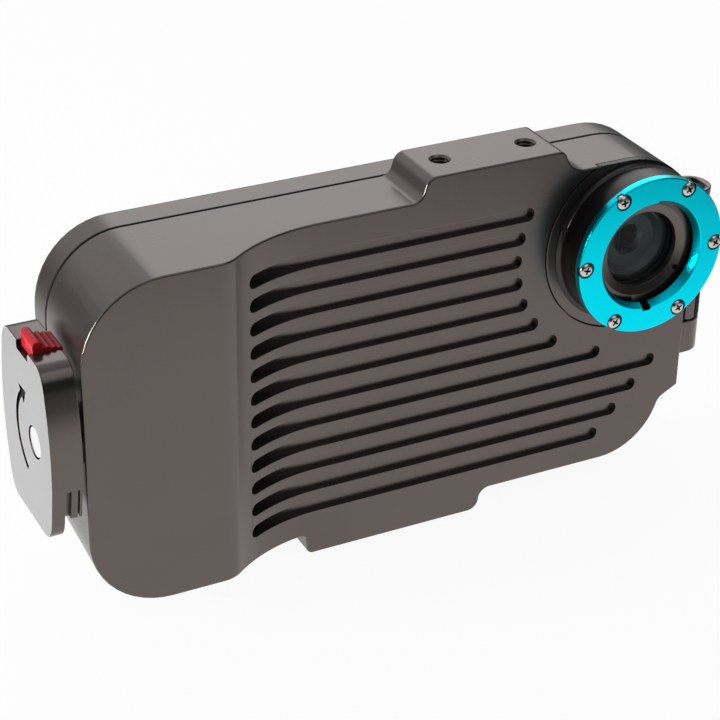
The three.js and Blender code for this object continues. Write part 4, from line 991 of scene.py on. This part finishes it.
def makePortInsides():
    p = port
    retainer = spunPiece("retainer", p["retainer"], "y", p["centre"], 128)
    radius, *angles = p["keyHoles"]
    cut(retainer, *[rod("hole", "y", screwPlace(radius, angle), 24, *p["keyHole"]) for angle in angles])
    finished(retainer, "case", "black_metal", "charcoalAnodised", "port_retainer")
    glass = rod("port_glass_made", "y", p["centre"], 96, *p["glass"])
    finished(glass, "case", "port_glass", "portGlass", "port_glass")
    baffle = spunPiece("baffle", p["baffle"], "y", p["centre"], 112)
    finished(baffle, "case", "black_plastic", "blackPlastic", "lens_baffle")


makeBarrel()
makeRing()
makeRingScrews()
makePortInsides()
print("port, ring and screws are made")

# ---- latch on the left end

latch = {
    "outer": -104.7, "inner": -95.9, "tail": -101.0, "y": -4.3,
    "halfHeight": 25.0, "lowerHeight": 26.2, "halfWidth": 18.6, "shoulder": 16.7, "shoulderHeight": 17.0,
    "flat": 10.0, "pull": 15.6, "edgeRound": 0.5, "innerRound": 0.4,
    "blockBottom": 48.5, "track": (21.6, 50, -104, 9), "channel": (-9.6, -0.8, 81.1),
    "springPocket": (1.5, 77.6, 84), "pinHead": 4.6, "pinHeadX": -101.5, "pinHole": 3.1,
    "arrowRadius": 13.3, "arrowStart": -60, "arrowEnd": 50, "arrowWidth": 1.9, "arrowDepth": 0.6,
    "headHalf": 3.0, "headAngle": 19,
}


def leverOutline(inset, steps=10):
    # six curves of the second order round the lever, inset for the cam's outlines
    k = latch
    flat = k["flat"] - inset / 2
    shoulder = k["shoulder"] - inset
    high = k["halfHeight"] - inset
    deep = k["lowerHeight"] - inset
    low = k["shoulderHeight"]
    bulge = 2 * (k["halfWidth"] - inset) - shoulder
    pull = k["pull"] - inset
    curves = [
        (flat, high, pull, high, shoulder, low), (shoulder, low, bulge, 0, shoulder, -low),
        (shoulder, -low, pull, -deep, flat, -deep), (-flat, -deep, -pull, -deep, -shoulder, -low),
        (-shoulder, -low, -bulge, 0, -shoulder, low), (-shoulder, low, -pull, high, -flat, high),
    ]
    points = []
    for ax, ay, bx, by, cx, cy in curves:
        for i in range(steps + 1):
            t = i / steps
            u = (1 - t) ** 2 * ax + 2 * t * (1 - t) * bx + t * t * cx
            v = (1 - t) ** 2 * ay + 2 * t * (1 - t) * by + t * t * cy
            place = (k["y"] + u, pivot["centre"][2] + v)
            if not points or math.dist(points[-1], place) > 0.05:
                points.append(place)
    return points


def ringSector(name, inner, outer, start, end, low, high):
    # about the pivot, with its angles in degrees
    x, y, z = pivot["centre"]
    a, b = math.radians(start), math.radians(end)
    outline = arcPoints(y, z, outer, a, b, 5) + arcPoints(y, z, inner, b, a, 5)
    return pulledSlab(name, outline, low, high, "yz")


def engraveArrow(lever):
    # it shows which way the lever turns
    k = latch
    x, y, z = pivot["centre"]
    half = k["arrowWidth"] / 2
    radius, end = k["arrowRadius"], k["arrowEnd"]
    levels = (k["outer"] - 1, k["outer"] + k["arrowDepth"])
    arrow = ringSector("arrow", radius - half, radius + half, k["arrowStart"], end, *levels)
    tip = math.radians(end + k["headAngle"])
    base = math.radians(end - 1)
    head = [
        (y + reach * math.cos(angle), z + reach * math.sin(angle))
        for reach, angle in ((radius, tip), (radius - k["headHalf"], base), (radius + k["headHalf"], base))
    ]
    unite(arrow, pulledSlab("head", head, *levels, "yz"))
    cut(lever, arrow)


def makeLever():
    k = latch
    x, y, z = pivot["centre"]
    outer, beyond = k["outer"], k["inner"] + 2
    lever = pulledSlab("lever", leverOutline(0), outer, k["inner"], "yz")
    softenEdges(lever, rimOf((-1, 0, 0), outer), k["edgeRound"], 2)
    softenEdges(lever, rimOf((1, 0, 0), k["inner"]), k["innerRound"], 2)
    cut(lever, pulledSlab("tail", flatBox(-45, 20, 40, k["blockBottom"]), k["tail"], beyond, "yz"))
    cut(lever, ringSector("track", *k["track"], k["tail"], beyond))
    front, rear, low = k["channel"]
    channel = filletedPoints([(front, low, 0.5), (rear, low, 0.5), (rear, 90), (front, 90)])
    spring = ((outer + k["inner"]) / 2, (front + rear) / 2, 0)
    recess = steppedHole(k["pinHead"], k["pinHole"], outer - 2, k["pinHeadX"], -93)
    cut(
        lever,
        pulledSlab("channel", channel, outer - 2, beyond, "yz"),
        rod("springPocket", "z", spring, 32, *k["springPocket"]),
        spunPiece("recess", recess, "x", (0, y, z), 64),
    )
    engraveArrow(lever)
    finished(lever, "latch", "lever_metal", "leverAnodised", "latch_lever")

    # painted light: the outer face gets a lighter copy of the lever's charcoal, standing for the strong light
    # from the left
    def litOuterFace(place, normal):
        return normal.x < -0.4 and place.x < outer + 0.6

    def inArrow(place, normal):
        away = math.hypot(place.y - y, place.z - z)
        turned = math.degrees(math.atan2(place.z - z, place.y - y))
        inTurn = k["arrowStart"] - 3 < turned < k["arrowEnd"] + k["headAngle"] + 1
        inDepth = 0.02 < place.x - outer < k["arrowDepth"] + 0.02
        return inDepth and inTurn and abs(away - k["arrowRadius"]) < k["headHalf"] + 0.2

    # painted shade: the channel's walls and floor are painted black for the shade inside it
    def channelShade(place, normal):
        inHeight = low - 0.05 < place.z < z + k["halfHeight"] - 0.05
        return inHeight and front - 0.02 < place.y < rear + 0.02 and place.x > outer + 0.02

    paintFaces(lever, "leverFacePaintedLight", litOuterFace)
    paintFaces(lever, "deepBlack", inArrow)
    paintFaces(lever, "blackAnodised", channelShade)


pivotPin = {
    "profile": [(0, -104.45), (4.2, -104.45, 0.15), (4.2, -101.8), (3.0, -101.8), (3.0, -88.4),
                (2.7, -88.4), (2.7, -87.2), (3.0, -87.2), (3.0, -86.0, 0.4), (0, -86.0)],
    "brightBefore": -104.2,
}


def makePivot():
    pin = spunPiece("pivot", pivotPin["profile"], "x", pivot["centre"], 64)
    finished(pin, "latch", "stainless", "screwSteel", "latch_pivot")
    paintFaces(pin, "polishedSteel", lambda place, normal: place.x < pivotPin["brightBefore"])


lock = {
    "front": -9.3, "rear": -1.1, "low": 81.4, "left": -103.4, "right": -95.25, "shelf": 83.3, "reach": 1.0,
    "ridges": [(-102.1, 85.3, 1.4), (-99.4, 83.9, 1.0), (-97.65, 83.45, 1.0), (-96.15, 83.2, 0.9)],
    "endRound": 0.15,
}


def makeLock():
    k = lock
    left, right, footTop = k["left"], k["right"], k["shelf"] + 0.4
    foot = [(left, k["low"], 0.5), (right, k["low"], 0.5), (right, footTop, 0.3), (left, footTop, 0.3)]
    slide = pulledSlab("slide", filletedPoints(foot), k["front"], k["rear"])
    softenEdges(slide, sharp, 0.2, 2)
    # the ridged top is one outline: a tall outer ridge, then lower ones
    outline = [(left + 0.1, k["shelf"] - 0.5), (right - 0.1, k["shelf"] - 0.5)]
    for x, z, radius in reversed(k["ridges"]):
        start, end = (0.2, 0.8) if radius < 1.2 else (-0.1, 1.0)
        outline += arcPoints(x, z, radius, start * math.pi, end * math.pi, 15)
    front, rear = k["front"] - k["reach"], k["rear"] - 0.1
    top = pulledSlab("top", outline, front, rear)

    def endRim(edge):
        return sharp(edge, 60) and (faceOn(edge, (0, -1, 0), front) or faceOn(edge, (0, 1, 0), rear))

    softenEdges(top, endRim, k["endRound"], 3)
    unite(slide, top)
    finished(slide, "lock", "red_plastic", "redGloss", "latch_lock", angle=40)


cam = {
    "inset": 2.4, "ribInset": 0.9, "ribs": ((0.34, 0.74), (0.82, 1.0)), "ribRound": 0.25,
    "rear": -8.0, "height": 9.9, "gap": 0.3,
}


def makeCam():
    k = latch
    left, right = k["tail"] + cam["gap"], k["inner"]
    bottom = k["blockBottom"] - cam["height"]
    block = pulledSlab("cam", leverOutline(cam["inset"]), left, right, "yz")
    for start, end in cam["ribs"]:
        levels = (left + (right - left) * start, left + (right - left) * end)
        rib = pulledSlab("rib", leverOutline(cam["ribInset"]), *levels, "yz")
        softenEdges(rib, sharp, cam["ribRound"], 2)
        unite(block, rib)
    limits = flatBox(-45, bottom, cam["rear"], k["blockBottom"] - cam["gap"])
    combine(block, pulledSlab("limits", limits, left - 1, right + 1, "yz"), "INTERSECT")
    softenEdges(block, rimOf((0, 0, -1), bottom), cam["ribRound"], 2)
    finished(block, "latch", "black_metal", "charcoalAnodised", "latch_cam")


makeLever()
makePivot()
makeLock()
makeCam()
print("latch is made")

# ---- hinge pin, buttons and the rear window

button = {
    "profile": [(0, 11.2), (1.6, 11.2, 0.3), (1.6, 12.1), (1.3, 12.1), (1.3, 13.3),
                (1.6, 13.3), (1.6, 20.2), (4.6, 20.2, 0.2), (4.6, 22.8, 0.75), (3.3, 22.8, 0.4),
                (2.2, 22.35, 1.5), (0, 22.2)],
}
window = {
    "corner": 6, "pane": (12.9, 15.8), "paneGrow": 4, "paneRound": 0.3,
    "frame": (10.8, 12.6), "frameGrow": (5, 9.5), "frameOpening": 1, "frameRound": 0.25,
    "screwHole": steppedHole(2.5, 1.3, 9, 12.1, 15),
}


def makeHingePin():
    h = hinge
    pin = rod("pin", "z", (h["x"], h["y"], 0), 48, h["pin"], h["bottom"], h["top"], 0.5)
    finished(pin, "case", "stainless", "screwSteel", "hinge_pin")


def makeButtons():
    first = spunPiece("button", button["profile"], "y", (cover["buttonX"], 0, 0), 64)
    for i, z in enumerate(cover["buttonZ"]):
        copy = ownCopy(first, f"button_made_{i + 1}", movedTo((0, 0, z)))
        finished(copy, "button_" + "abcde"[i], "button_metal", "buttonSatin", f"button_{i + 1}")
    bpy.data.objects.remove(first)


def makeWindow():
    w = window
    pane = pulledSlab("pane", windowOutline(w["paneGrow"], w["paneGrow"], w["corner"]), *w["pane"])
    softenEdges(pane, sharp, w["paneRound"], 2)
    finished(pane, "cover", "window_glass", "windowGlass", "rear_window")
    frameBar = pulledSlab("frameBar", windowOutline(*w["frameGrow"], w["corner"]), *w["frame"])
    opening = windowOutline(w["frameOpening"], w["frameOpening"], w["corner"])
    cut(frameBar, pulledSlab("inner", opening, 9, 15))
    places = [(x, 0, z) for x in cover["screwX"] for z in cover["screwZ"]]
    cut(frameBar, *[spunPiece("hole", w["screwHole"], "y", place, 40) for place in places])
    softenEdges(frameBar, rimOf((0, -1, 0), w["frame"][0]), w["frameRound"], 2)
    finished(frameBar, "cover", "black_metal", "blackAnodised", "window_frame")


makeHingePin()
makeButtons()
makeWindow()
print("hinge pin, buttons and window are made")

# ---- carried-over CAD nodes get their finish

slotFinish = {
    "shell_metal": "charcoalAnodised", "black_metal": "blackAnodised", "blue_metal": "cyanAnodised",
    "stainless": "screwSteel", "lever_metal": "leverFacePaintedLight", "button_metal": "buttonSatin",
    "port_glass": "portGlass", "window_glass": "windowGlass", "black_plastic": "blackPlastic",
    "seal_rubber": "sealRubber", "pad_rubber": "padRubber", "red_plastic": "redGloss",
    "board_laminate": "boardGreen", "battery_foil": "batteryFoil",
}
nodeSlot = {part["node"]: part["material_slot"] for part in frame["record"]["subparts"]}
for name, node in frame["nodes"].items():
    material = finish[slotFinish[nodeSlot[name]]]
    if not node.material_slots:
        node.data.materials.append(material)
    for place in node.material_slots:
        place.material = material
print("carried-over nodes have their finishes")
